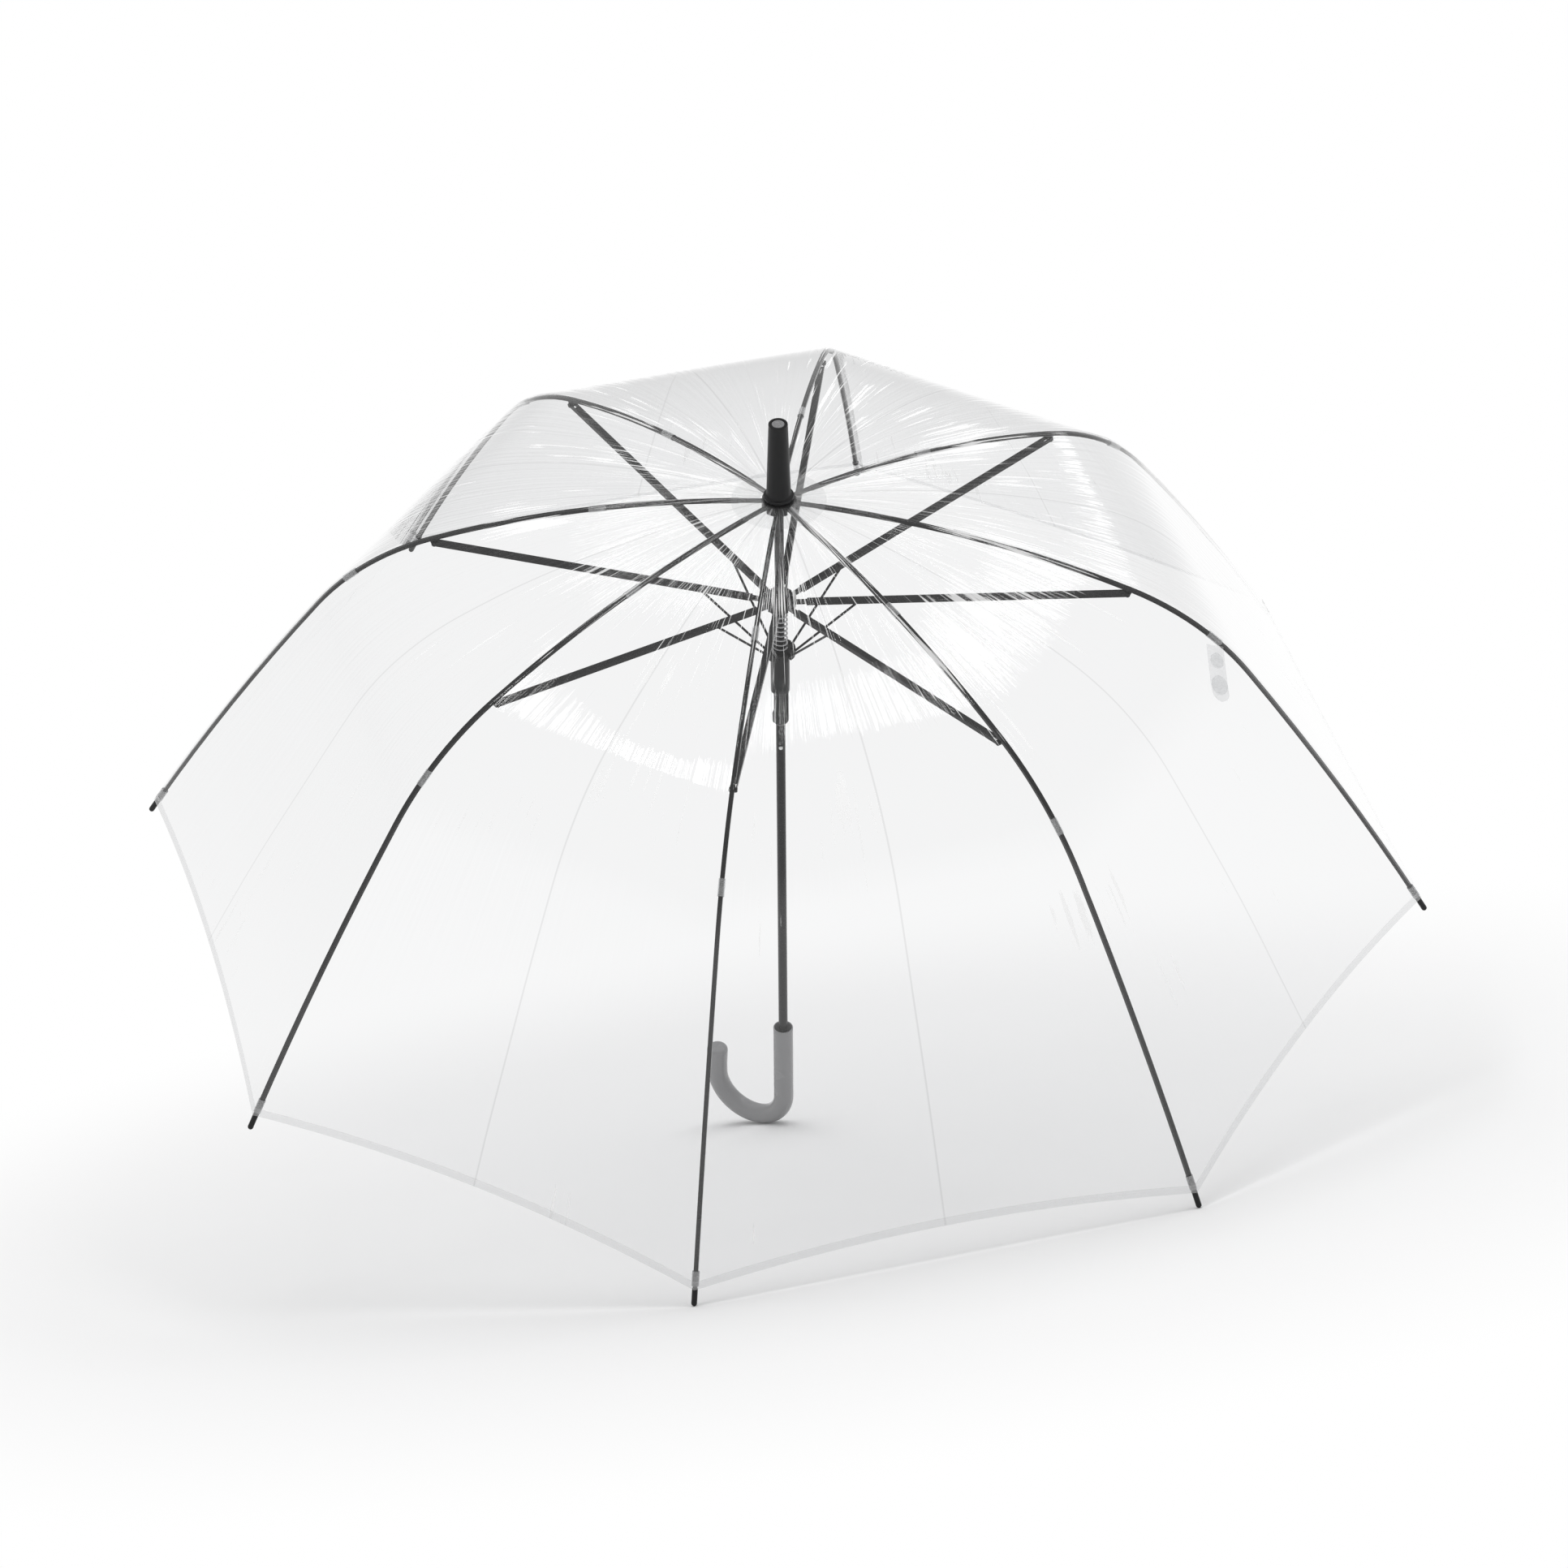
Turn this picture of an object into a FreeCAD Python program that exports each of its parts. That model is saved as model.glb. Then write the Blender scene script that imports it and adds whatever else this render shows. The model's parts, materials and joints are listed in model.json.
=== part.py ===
"""Clear dome umbrella, open and resting on the floor on its crook handle and two rib tips.

Every piece is drawn upright first: the shaft runs along Z, the rib hinges are at z = 0 and the ferrule
points up. rest_placement() then leans the whole umbrella over, so that the crook and two neighbouring rib
tips touch z = 0.
Lengths are in millimetres and angles in degrees.
"""
import math
import os

import FreeCAD, Part
from FreeCAD import Matrix, Placement, Rotation, Vector

RIB_COUNT = 8
GORE = 360 / RIB_COUNT
FIRST_RIB_AZIMUTH = -180
HOOK_AZIMUTH = 157.5
FLOOR_RIBS = (3, 4)

# Linkage: pivots as (radius, height) in the plane of one rib.
RIB_HINGE = (9.5, 0)
RIB_JOINT = (257, -61)
CROWN_PIVOT = (10.5, -92)
RUNNER_PIVOT = (10.4, -139)
STRUT_ALONG = 49
STRUT_BELOW = 0.8

# Rib: three arcs from the hub hinge to the tip. Headings are angles below the horizontal.
RIB_WIDTH = 3.2
RIB_HALF_HEIGHT = 1.3
RIB_HEADING = 3.9
JOINT_HEADING = 22
KNEE_LENGTH = 115
KNEE_HEADING = 53.5
TIP = (490, -343)
RIB_TONGUE = 2.4
RIB_TONGUE_LENGTH = 22
RIB_OVERLAP = 2
RIB_EYE_R = 1.9
RIB_EYE_HOLE_R = 1.0
LUG_DROP = 4
LUG_R = 2.1
GROOVE_WIDTH = 1.8
GROOVE_DEPTH = 1.7
GROOVE_MARGIN = 6
TIP_PIN_R = 1.0
TIP_PIN_LENGTH = 11
TIP_PIN_BARE = 2
TIP_PIN_ROOT = 1

CAP_R = 2.1
CAP_LENGTH = 13

TIE_R = 2.6
TIE_BORE_R = 2.15
TIE_LENGTH = 13
OUTER_TIE_FROM_JOINT = 75
INNER_TIE_FROM_HINGE = 126

STRETCHER_WIDTH = 5.0
STRETCHER_HALF_HEIGHT = 1.7
STRETCHER_WALL = 0.7
TONGUE_WIDTH = 2.4
TONGUE_R = 1.6
TONGUE_LENGTH = 10
CHANNEL_START = 14
EAR_LENGTH = 6
EAR_R = 2.0
RIVET_R = 0.95
RIVET_HOLE_R = 1.0
RIVET_HEAD_R = 1.7
RIVET_HEAD = 0.6

STRUT_R = 0.9
STRUT_EYE_R = 1.6
STRUT_EYE_HOLE_R = 0.85
STRUT_END_R = 1.1
STRUT_PIN_R = 0.8
STRUT_WIDTH = 2.0

SHAFT_R = 3.5
SHAFT_BORE_R = 2.9
SHAFT_TOP = 20
SHAFT_BOTTOM = -574
HOLE_R = 1.6
HOLE_HEIGHT = -230
HOLE_AZIMUTH = -82
SLIDE_FIT = 0.06
PRESS_FIT = 0.02

NOTCH_R = 12.5
NOTCH_LOW = -4.5
NOTCH_HIGH = 2.9
NOTCH_SLOT = 3.0
NOTCH_SLOT_R = 6.0
NOTCH_WIRE_R = 0.6

FERRULE_LOW = 4.2
FERRULE_FLANGE_R = 11.2
FERRULE_FLANGE = 3.0
FERRULE_SHOULDER = 1
FERRULE_BODY_R = 9.0
FERRULE_TOP_R = 7.1
FERRULE_TOP = 71
FERRULE_PIN_R = 5.0
FERRULE_PIN_SINK = 0.4
FERRULE_PIN_LENGTH = 12
FERRULE_PIN_CHAMFER = 0.4

ROSETTE_R = 35
ROSETTE_THICK = 0.4
ROSETTE_GAP = 0.35

CROWN_R = 12.3
CROWN_HALF_HEIGHT = 4
CROWN_SLOT = 2.8
CROWN_SLOT_R = 7.3
CROWN_NECK_R = 6.4
CROWN_NECK = 5
CROWN_CHAMFER = 0.8

FLANGE_R = 11.6
FLANGE_HALF_HEIGHT = 2.8
FLANGE_SLOT = 2.5
FLANGE_SLOT_R = 7.6
SLEEVE_R = 7.1
SLEEVE_END = 39
SLEEVE_TAPER = 2
SLEEVE_STEP = 1.2
NECK_R = 4.9
NECK_END = 60
NECK_TAPER = 3
LATCH_R = 6.2
LATCH_END = 66
RUNNER_END = 69
RUNNER_END_STEP = 0.7
RUNNER_RAIL_WIDTH = 3.0
RUNNER_RAIL_ROOT = 0.3

SPRING_R = 5.3
SPRING_WIRE_R = 0.7
SPRING_TURNS = 6
SPRING_CLEARANCE = 0.3

HANDLE_R = 7.7
HANDLE_MOUTH = -514
HANDLE_STRAIGHT = 72
HANDLE_RECESS_R = 6.6
HANDLE_RECESS = 29
HANDLE_EDGE = 0.5
HOOK_R = 30
HOOK_RISE = 20
HOOK_END_R = 8.1
HOOK_END_LENGTH = 9
HOOK_END_OVERLAP = 4
HOOK_END_ROUND = 3.5

CANOPY_OFFSET = 2.9
CANOPY_THICK = 0.3
CANOPY_INNER_R = 14.5
CANOPY_END = 9
CANOPY_GAP = 0.4
CANOPY_SPARE = 20

STRAP_RIB = 5
STRAP_WIDTH = 16
STRAP_LENGTH = 44
STRAP_THICK = 0.6
STRAP_LIFT = 1.2
STRAP_TURN = 33
STRAP_SIDE = 9
STRAP_ROLL = 18
STRAP_CORNER_R = 7
SNAP_UPPER_R = 6
SNAP_LOWER_R = 7.5
SNAP_THICK = 1.0
SNAP_UPPER_AT = 12
SNAP_LOWER_AT = 31

LEAN_STEPS = 30
BIG = 700


def radians_of(angle):
    return math.radians(angle)


def in_plane(point, y=0):
    """(radius, height) in the rib plane, as a 3-D point."""
    return Vector(point[0], y, point[1])


def outward(heading):
    """The unit (radius, height) normal that points out of the dome at a heading."""
    return math.sin(radians_of(heading)), math.cos(radians_of(heading))


def along(heading):
    """The unit (radius, height) direction of travel at a heading."""
    return math.cos(radians_of(heading)), -math.sin(radians_of(heading))


def distance(a, b):
    return math.hypot(b[0] - a[0], b[1] - a[1])


def chord_heading(a, b):
    return math.degrees(math.atan2(a[1] - b[1], b[0] - a[0]))


def step(point, direction, length):
    return point[0] + direction[0] * length, point[1] + direction[1] * length


class Arc:
    """An arc of the rib's centre line, from one heading to the next, bending downwards."""

    def __init__(self, start, heading, end):
        half_turn = chord_heading(start, end) - heading
        self.first = heading
        self.last = heading + 2 * half_turn
        self.radius = distance(start, end) / (2 * math.sin(radians_of(half_turn)))
        self.centre = step(start, outward(heading), -self.radius)
        self.length = self.radius * radians_of(2 * half_turn)

    def point(self, heading, offset=0):
        return step(self.centre, outward(heading), self.radius + offset)

    def heading_after(self, length):
        return self.first + math.degrees(length / self.radius)

    def edge(self, first, last, offset):
        middle = (first + last) / 2
        ends = [in_plane(self.point(heading, offset)) for heading in (first, middle, last)]
        return Part.Arc(*ends).toShape()


def rib_arcs():
    """The hub arc, the sharp bend after the joint and the long straighter end."""
    joint = step(RIB_JOINT, outward(JOINT_HEADING), LUG_DROP)
    inner = Arc(RIB_HINGE, RIB_HEADING, joint)
    turn = KNEE_HEADING - inner.last
    knee_chord = 2 * KNEE_LENGTH / radians_of(turn) * math.sin(radians_of(turn / 2))
    knee = step(joint, along((inner.last + KNEE_HEADING) / 2), knee_chord)
    bend = Arc(joint, inner.last, knee)
    return inner, bend, Arc(knee, bend.last, TIP)


ARCS = rib_arcs()


def spans(start, end):
    """(arc, first heading, last heading) between two lengths along the rib."""
    found = []
    done = 0
    for arc in ARCS:
        low = max(start - done, 0)
        high = min(end - done, arc.length)
        if high > low:
            found.append((arc, arc.heading_after(low), arc.heading_after(high)))
        done += arc.length
    return found


def rib_length():
    return sum(arc.length for arc in ARCS)


def place_on_rib(length):
    """The arc and heading at a length along the rib."""
    arc, first, last = spans(0, length)[-1]
    return arc, last


def outline(start, end, inner, outer):
    """The face in the rib plane between two lengths along the rib and two offsets from its centre line."""
    pieces = spans(start, end)
    upper = [arc.edge(first, last, outer) for arc, first, last in pieces]
    lower = [arc.edge(last, first, inner) for arc, first, last in reversed(pieces)]
    start_line = Part.LineSegment(lower[-1].Vertexes[-1].Point, upper[0].Vertexes[0].Point).toShape()
    end_line = Part.LineSegment(upper[-1].Vertexes[-1].Point, lower[0].Vertexes[0].Point).toShape()
    return Part.Face(Part.Wire(upper + [end_line] + lower + [start_line]))


def strip(start, end, inner, outer, width):
    """A strip that follows the rib between two lengths and two offsets, centred on the rib plane."""
    face = outline(start, end, inner, outer)
    face.translate(Vector(0, -width / 2, 0))
    return face.extrude(Vector(0, width, 0))


def cross_pin(radius, width, point):
    """A round pin or boss across the rib plane."""
    return Part.makeCylinder(radius, width, in_plane(point, -width / 2), Vector(0, 1, 0))


def turned(shape, azimuth):
    copy = shape.copy()
    copy.rotate(Vector(0, 0, 0), Vector(0, 0, 1), azimuth)
    return copy


def rib_azimuth(number):
    return FIRST_RIB_AZIMUTH + (number - 1) * GORE


def revolved(points):
    """A solid of revolution about Z from its (radius, height) outline."""
    corners = [in_plane(point) for point in points + points[:1]]
    return Part.Face(Part.makePolygon(corners)).revolve(Vector(0, 0, 0), Vector(0, 0, 1), 360)


def radial_slots(width, inner, low, high):
    box = Part.makeBox(BIG, width, high - low, Vector(inner, -width / 2, low))
    first = turned(box, 0)
    return first.fuse([turned(box, number * GORE) for number in range(1, RIB_COUNT)])


def rib():
    """A channel that opens towards the shaft, with a hub eye, a joint lug and a pin for the tip cap."""
    end = channel_end()
    lug_at = ARCS[0].length
    low = -RIB_HALF_HEIGHT
    tongue = strip(0, RIB_TONGUE_LENGTH, low, RIB_HALF_HEIGHT, RIB_TONGUE)
    body = strip(RIB_TONGUE_LENGTH - RIB_OVERLAP, end, low, RIB_HALF_HEIGHT, RIB_WIDTH)
    inner_groove = (RIB_TONGUE_LENGTH + RIB_OVERLAP, lug_at - GROOVE_MARGIN)
    outer_groove = (lug_at + GROOVE_MARGIN, end - GROOVE_MARGIN)
    for start, stop in (inner_groove, outer_groove):
        body = body.cut(strip(start, stop, low - GROOVE_DEPTH, low + GROOVE_DEPTH, GROOVE_WIDTH))
    eye = cross_pin(RIB_EYE_R, RIB_TONGUE, RIB_HINGE)
    lug = cross_pin(LUG_R, RIB_WIDTH, RIB_JOINT)
    web = strip(lug_at - LUG_R, lug_at + LUG_R, -LUG_DROP, 0, RIB_WIDTH)
    start, direction = tip_frame()
    pin = Part.makeCylinder(TIP_PIN_R, TIP_PIN_LENGTH + TIP_PIN_ROOT, in_plane(start), in_plane(direction))
    solid = body.fuse([tongue, eye, lug, web, pin])
    solid = solid.cut(cross_pin(RIB_EYE_HOLE_R, BIG, RIB_HINGE))
    return solid.cut(cross_pin(RIVET_HOLE_R, BIG, RIB_JOINT)).removeSplitter()


def channel_end():
    """The length along the rib at which its channel ends and the tip pin comes out."""
    return rib_length() - TIP_PIN_LENGTH - TIP_PIN_BARE


def tip_frame():
    """The start and direction of the straight tip pin, rooted in the channel's end."""
    arc, heading = place_on_rib(channel_end() - TIP_PIN_ROOT)
    return arc.point(heading), along(heading)


def cap_centre():
    """The centre of the cap's round end."""
    start, direction = tip_frame()
    return step(start, direction, TIP_PIN_LENGTH + TIP_PIN_ROOT + TIP_PIN_BARE - CAP_R)


def tip_cap():
    """A round-ended sleeve over the rib's tip pin."""
    start, direction = tip_frame()
    centre = cap_centre()
    base = step(centre, direction, CAP_R - CAP_LENGTH)
    body = Part.makeCylinder(CAP_R, CAP_LENGTH - CAP_R, in_plane(base), in_plane(direction))
    body = body.fuse(Part.makeSphere(CAP_R, in_plane(centre)))
    depth = TIP_PIN_LENGTH + TIP_PIN_ROOT + PRESS_FIT
    bore = Part.makeCylinder(TIP_PIN_R + PRESS_FIT, depth, in_plane(start), in_plane(direction))
    reach = CAP_LENGTH
    shoulder = strip(rib_length() - 2 * reach, channel_end() + PRESS_FIT, -reach, reach, reach)
    return body.cut(bore).cut(shoulder).removeSplitter()


def canopy_ties():
    """Two short clear sleeves that hold the film to one rib."""
    sleeves = []
    for middle in (INNER_TIE_FROM_HINGE, ARCS[0].length + OUTER_TIE_FROM_JOINT):
        arc, heading = place_on_rib(middle)
        direction = in_plane(along(heading))
        base = in_plane(step(arc.point(heading), along(heading), -TIE_LENGTH / 2))
        sleeve = Part.makeCylinder(TIE_R, TIE_LENGTH, base, direction)
        sleeves.append(sleeve.cut(Part.makeCylinder(TIE_BORE_R, TIE_LENGTH, base, direction)))
    return Part.makeCompound(sleeves)


def gore_half():
    """The film from one rib to the middle of the next gore: flat across, curved along the rib."""
    start = (CANOPY_INNER_R - RIB_HINGE[0]) / math.cos(radians_of(RIB_HEADING))
    face = outline(start, rib_length() - CANOPY_END, CANOPY_OFFSET, CANOPY_OFFSET + CANOPY_THICK)
    half = radians_of(GORE / 2)
    across = Vector(-math.sin(half), math.cos(half), 0)
    film = face.extrude(across * (TIP[0] * math.sin(half) + CANOPY_SPARE))
    back = CANOPY_GAP / 2 / math.sin(half)
    far_corner = Vector(BIG, (BIG - back) * math.tan(half), -BIG)
    corners = [Vector(back, 0, -BIG), Vector(BIG, 0, -BIG), far_corner]
    wedge = Part.Face(Part.makePolygon(corners + corners[:1])).extrude(Vector(0, 0, 2 * BIG))
    return film.common(wedge)


def canopy_panel():
    """The film between the middles of the two gores beside a rib."""
    half = gore_half()
    mirror = half.mirror(Vector(0, 0, 0), Vector(0, 1, 0))
    return half.fuse(mirror).removeSplitter()


def stretcher_angle():
    return -chord_heading(CROWN_PIVOT, RIB_JOINT)


def stretcher_length():
    return distance(CROWN_PIVOT, RIB_JOINT)


def raised(shape):
    """From a level drawing with its inner pivot at the origin to the stretcher's place in the rib plane."""
    shape.rotate(Vector(0, 0, 0), Vector(0, -1, 0), stretcher_angle())
    shape.translate(in_plane(CROWN_PIVOT))
    return shape


def stretcher():
    """A channel that opens downwards, with a flat inner tongue, two outer ears, a rivet and a strut pin."""
    length = stretcher_length()
    width = STRETCHER_WIDTH
    high = STRETCHER_HALF_HEIGHT
    wall = STRETCHER_WALL
    body = Part.makeBox(length - TONGUE_LENGTH, width, 2 * high, Vector(TONGUE_LENGTH, -width / 2, -high))
    body = body.fuse(cross_pin(EAR_R, width, (length, 0)))
    clear = width - 2 * wall
    inside = Part.makeBox(length, clear, 2 * high, Vector(CHANNEL_START, -clear / 2, -high - wall))
    gap = Part.makeBox(length, clear, 4 * high, Vector(length - EAR_LENGTH, -clear / 2, -2 * high))
    body = body.cut(inside).cut(gap)
    tongue_corner = Vector(0, -TONGUE_WIDTH / 2, -TONGUE_R)
    tongue = Part.makeBox(TONGUE_LENGTH + TONGUE_R, TONGUE_WIDTH, 2 * TONGUE_R, tongue_corner)
    eye = cross_pin(TONGUE_R, TONGUE_WIDTH, (0, 0))
    rivet = cross_pin(RIVET_R, width, (length, 0))
    heads = cross_pin(RIVET_HEAD_R, width + 2 * RIVET_HEAD, (length, 0))
    heads = heads.cut(cross_pin(2 * RIVET_HEAD_R, width, (length, 0)))
    pin = cross_pin(STRUT_PIN_R, width, (STRUT_ALONG, -STRUT_BELOW))
    return raised(body.fuse([tongue, eye, rivet, heads, pin]).removeSplitter())


def strut_pivot():
    """Where the wire strut hangs on the stretcher."""
    angle = radians_of(stretcher_angle())
    radius = CROWN_PIVOT[0] + STRUT_ALONG * math.cos(angle) + STRUT_BELOW * math.sin(angle)
    height = CROWN_PIVOT[1] + STRUT_ALONG * math.sin(angle) - STRUT_BELOW * math.cos(angle)
    return radius, height


def wire_strut():
    """A wire with a flat eye on the stretcher's pin and a flat end in the runner's flange."""
    outer = strut_pivot()
    length = distance(RUNNER_PIVOT, outer)
    direction = ((outer[0] - RUNNER_PIVOT[0]) / length, (outer[1] - RUNNER_PIVOT[1]) / length)
    wire = Part.makeCylinder(STRUT_R, length, in_plane(RUNNER_PIVOT), in_plane(direction))
    eye = cross_pin(STRUT_EYE_R, STRUT_WIDTH, outer)
    end = cross_pin(STRUT_END_R, STRUT_WIDTH, RUNNER_PIVOT)
    return wire.fuse([eye, end]).cut(cross_pin(STRUT_EYE_HOLE_R, BIG, outer)).removeSplitter()


def shaft():
    """The tube, with a small round hole in its front wall."""
    height = SHAFT_TOP - SHAFT_BOTTOM
    tube = Part.makeCylinder(SHAFT_R, height, Vector(0, 0, SHAFT_BOTTOM))
    tube = tube.cut(Part.makeCylinder(SHAFT_BORE_R, height, Vector(0, 0, SHAFT_BOTTOM)))
    hole = Part.makeCylinder(HOLE_R, 2 * SHAFT_R, Vector(0, 0, HOLE_HEIGHT), Vector(1, 0, 0))
    return tube.cut(turned(hole, HOLE_AZIMUTH))


def wire_ring(radius):
    return Part.makeTorus(RIB_HINGE[0], radius, Vector(0, 0, RIB_HINGE[1]))


def top_notch():
    """The slotted disc that holds the ribs, fixed on the shaft."""
    disc = Part.makeCylinder(NOTCH_R, NOTCH_HIGH - NOTCH_LOW, Vector(0, 0, NOTCH_LOW))
    disc = disc.cut(Part.makeCylinder(SHAFT_R + PRESS_FIT, BIG, Vector(0, 0, -BIG / 2)))
    disc = disc.cut(radial_slots(NOTCH_SLOT, NOTCH_SLOT_R, 2 * NOTCH_LOW, 2 * NOTCH_HIGH))
    return disc.cut(wire_ring(NOTCH_WIRE_R + PRESS_FIT))


def ferrule():
    """The black spike cover that clamps the film on the shaft."""
    low = FERRULE_LOW
    solid = revolved([
        (SHAFT_R + PRESS_FIT, low), (FERRULE_FLANGE_R, low), (FERRULE_FLANGE_R, low + FERRULE_FLANGE),
        (FERRULE_BODY_R, low + FERRULE_FLANGE + FERRULE_SHOULDER),
        (FERRULE_TOP_R, FERRULE_TOP), (0, FERRULE_TOP),
        (0, SHAFT_TOP + PRESS_FIT), (SHAFT_R + PRESS_FIT, SHAFT_TOP + PRESS_FIT),
    ])
    base = FERRULE_TOP - FERRULE_PIN_SINK - FERRULE_PIN_LENGTH
    return solid.cut(Part.makeCylinder(FERRULE_PIN_R + PRESS_FIT, BIG, Vector(0, 0, base)))


def ferrule_pin():
    base = FERRULE_TOP - FERRULE_PIN_SINK - FERRULE_PIN_LENGTH
    pin = Part.makeCylinder(FERRULE_PIN_R, FERRULE_PIN_LENGTH, Vector(0, 0, base))
    return pin.makeChamfer(FERRULE_PIN_CHAMFER, [pin.Edges[0]])


def canopy_rosette():
    """The clear reinforcing disc over the film's centre."""
    arc, heading = place_on_rib(ROSETTE_R - RIB_HINGE[0])
    top = CANOPY_OFFSET + CANOPY_THICK + ROSETTE_GAP
    rim = arc.point(heading, top)
    slope = (top - rim[1]) / (rim[0] - RIB_HINGE[0])
    flat = FERRULE_LOW - ROSETTE_THICK - PRESS_FIT
    knee = RIB_HINGE[0] + (top - flat) / slope
    under = [(SHAFT_R + PRESS_FIT, flat), (knee, flat), rim]
    thick = [(point[0], point[1] + ROSETTE_THICK) for point in reversed(under)]
    return revolved(under + thick)


def runner_crown():
    """The slotted disc that carries the stretchers and slides on the shaft."""
    middle = CROWN_PIVOT[1]
    low = middle - CROWN_HALF_HEIGHT
    high = middle + CROWN_HALF_HEIGHT
    bore = SHAFT_R + SLIDE_FIT
    solid = revolved([
        (bore, low), (CROWN_R - CROWN_CHAMFER, low), (CROWN_R, low + CROWN_CHAMFER),
        (CROWN_R, high - CROWN_CHAMFER), (CROWN_R - CROWN_CHAMFER, high),
        (CROWN_NECK_R, high), (CROWN_NECK_R, high + CROWN_NECK), (bore, high + CROWN_NECK),
    ])
    return solid.cut(radial_slots(CROWN_SLOT, CROWN_SLOT_R, low - 1, high + 1))


def runner():
    """The sleeve with the strut flange above and the neck and latch end below."""
    top = RUNNER_PIVOT[1]
    bore = SHAFT_R + SLIDE_FIT
    solid = revolved([
        (bore, top + FLANGE_HALF_HEIGHT), (FLANGE_R, top + FLANGE_HALF_HEIGHT),
        (FLANGE_R, top - FLANGE_HALF_HEIGHT), (SLEEVE_R, top - FLANGE_HALF_HEIGHT),
        (SLEEVE_R, top - SLEEVE_END + SLEEVE_TAPER), (SLEEVE_R - SLEEVE_STEP, top - SLEEVE_END),
        (NECK_R, top - SLEEVE_END), (NECK_R, top - NECK_END + NECK_TAPER), (LATCH_R, top - NECK_END),
        (LATCH_R, top - LATCH_END), (NECK_R - RUNNER_END_STEP, top - RUNNER_END), (bore, top - RUNNER_END),
    ])
    deep = 2 * FLANGE_HALF_HEIGHT
    slots = radial_slots(FLANGE_SLOT, FLANGE_SLOT_R, top - deep, top + deep)
    reach = NECK_END - SLEEVE_END
    lip = Part.makeBox(LATCH_R, RUNNER_RAIL_WIDTH, reach, Vector(0, -RUNNER_RAIL_WIDTH / 2, top - NECK_END))
    rail = Part.makeCylinder(LATCH_R, reach, Vector(0, 0, top - NECK_END)).common(lip)
    rail = rail.cut(Part.makeCylinder(NECK_R - RUNNER_RAIL_ROOT, BIG, Vector(0, 0, -BIG)))
    return solid.cut(slots).fuse(rail).removeSplitter()


def opening_spring():
    """The coil between the crown and the runner's flange."""
    low = RUNNER_PIVOT[1] + FLANGE_HALF_HEIGHT + SPRING_WIRE_R + SPRING_CLEARANCE
    high = CROWN_PIVOT[1] - CROWN_HALF_HEIGHT - SPRING_WIRE_R - SPRING_CLEARANCE
    helix = Part.makeHelix((high - low) / SPRING_TURNS, high - low, SPRING_R)
    start = Vector(SPRING_R, 0, 0)
    profile = Part.Wire(Part.makeCircle(SPRING_WIRE_R, start, Vector(0, 1, 0)))
    coil = Part.Wire(helix).makePipeShell([profile], True, True)
    coil.translate(Vector(0, 0, low))
    return coil


def handle():
    """The crook: a straight grip with a recess for the runner, a half turn and a short end."""
    bottom = Vector(0, 0, HANDLE_MOUTH - HANDLE_STRAIGHT)
    far_side = bottom + Vector(2 * HOOK_R, 0, 0)
    straight = Part.makeCylinder(HANDLE_R, HANDLE_STRAIGHT, bottom)
    straight = straight.makeFillet(HANDLE_EDGE, [straight.Edges[0]])
    section = Part.Face(Part.Wire(Part.makeCircle(HANDLE_R, bottom, Vector(0, 0, 1))))
    bend = section.revolve(bottom + Vector(HOOK_R, 0, 0), Vector(0, -1, 0), 180)
    rise = Part.makeCylinder(HANDLE_R, HOOK_RISE, far_side)
    end_base = far_side + Vector(0, 0, HOOK_RISE - HOOK_END_OVERLAP)
    ends = Part.makeCylinder(HOOK_END_R, HOOK_END_LENGTH, end_base)
    ends = ends.makeFillet(HOOK_END_ROUND, [ends.Edges[0]])
    solid = straight.fuse([bend, rise, ends]).removeSplitter()
    recess = Part.makeCylinder(HANDLE_RECESS_R, HANDLE_RECESS, Vector(0, 0, HANDLE_MOUTH - HANDLE_RECESS))
    low = SHAFT_BOTTOM - PRESS_FIT
    bore = Part.makeCylinder(SHAFT_R + PRESS_FIT, HANDLE_MOUTH - low, Vector(0, 0, low))
    return turned(solid.cut(recess).cut(bore), HOOK_AZIMUTH)


def strap_pieces():
    """The closing strap and its two snap halves, lying on the film beside one rib."""
    arc, heading = place_on_rib(ARCS[0].length + OUTER_TIE_FROM_JOINT)
    lift = CANOPY_OFFSET + CANOPY_THICK + STRAP_LIFT
    tab = Part.makeBox(STRAP_LENGTH, STRAP_WIDTH, STRAP_THICK, Vector(0, -STRAP_WIDTH / 2, 0))
    corners = [edge for edge in tab.Edges if edge.Length == STRAP_THICK]
    tab = tab.makeFillet(STRAP_CORNER_R, [edge for edge in corners if edge.CenterOfMass.x > STRAP_WIDTH])
    upper = Part.makeCylinder(SNAP_UPPER_R, SNAP_THICK, Vector(SNAP_UPPER_AT, 0, STRAP_THICK))
    lower = Part.makeCylinder(SNAP_LOWER_R, SNAP_THICK, Vector(SNAP_LOWER_AT, 0, STRAP_THICK))
    placed = []
    for shape in (tab, Part.makeCompound([upper, lower])):
        shape.rotate(Vector(0, 0, 0), Vector(0, 0, 1), -STRAP_TURN)
        shape.translate(Vector(0, -STRAP_SIDE, lift))
        shape.rotate(Vector(0, 0, 0), Vector(1, 0, 0), STRAP_ROLL)
        shape.rotate(Vector(0, 0, 0), Vector(0, 1, 0), heading)
        shape.translate(in_plane(arc.point(heading)))
        placed.append(shape)
    return placed


def upright_point(point, azimuth):
    """A (radius, height) point turned to an azimuth about the shaft."""
    angle = radians_of(azimuth)
    return Vector(point[0] * math.cos(angle), point[0] * math.sin(angle), point[1])


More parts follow.
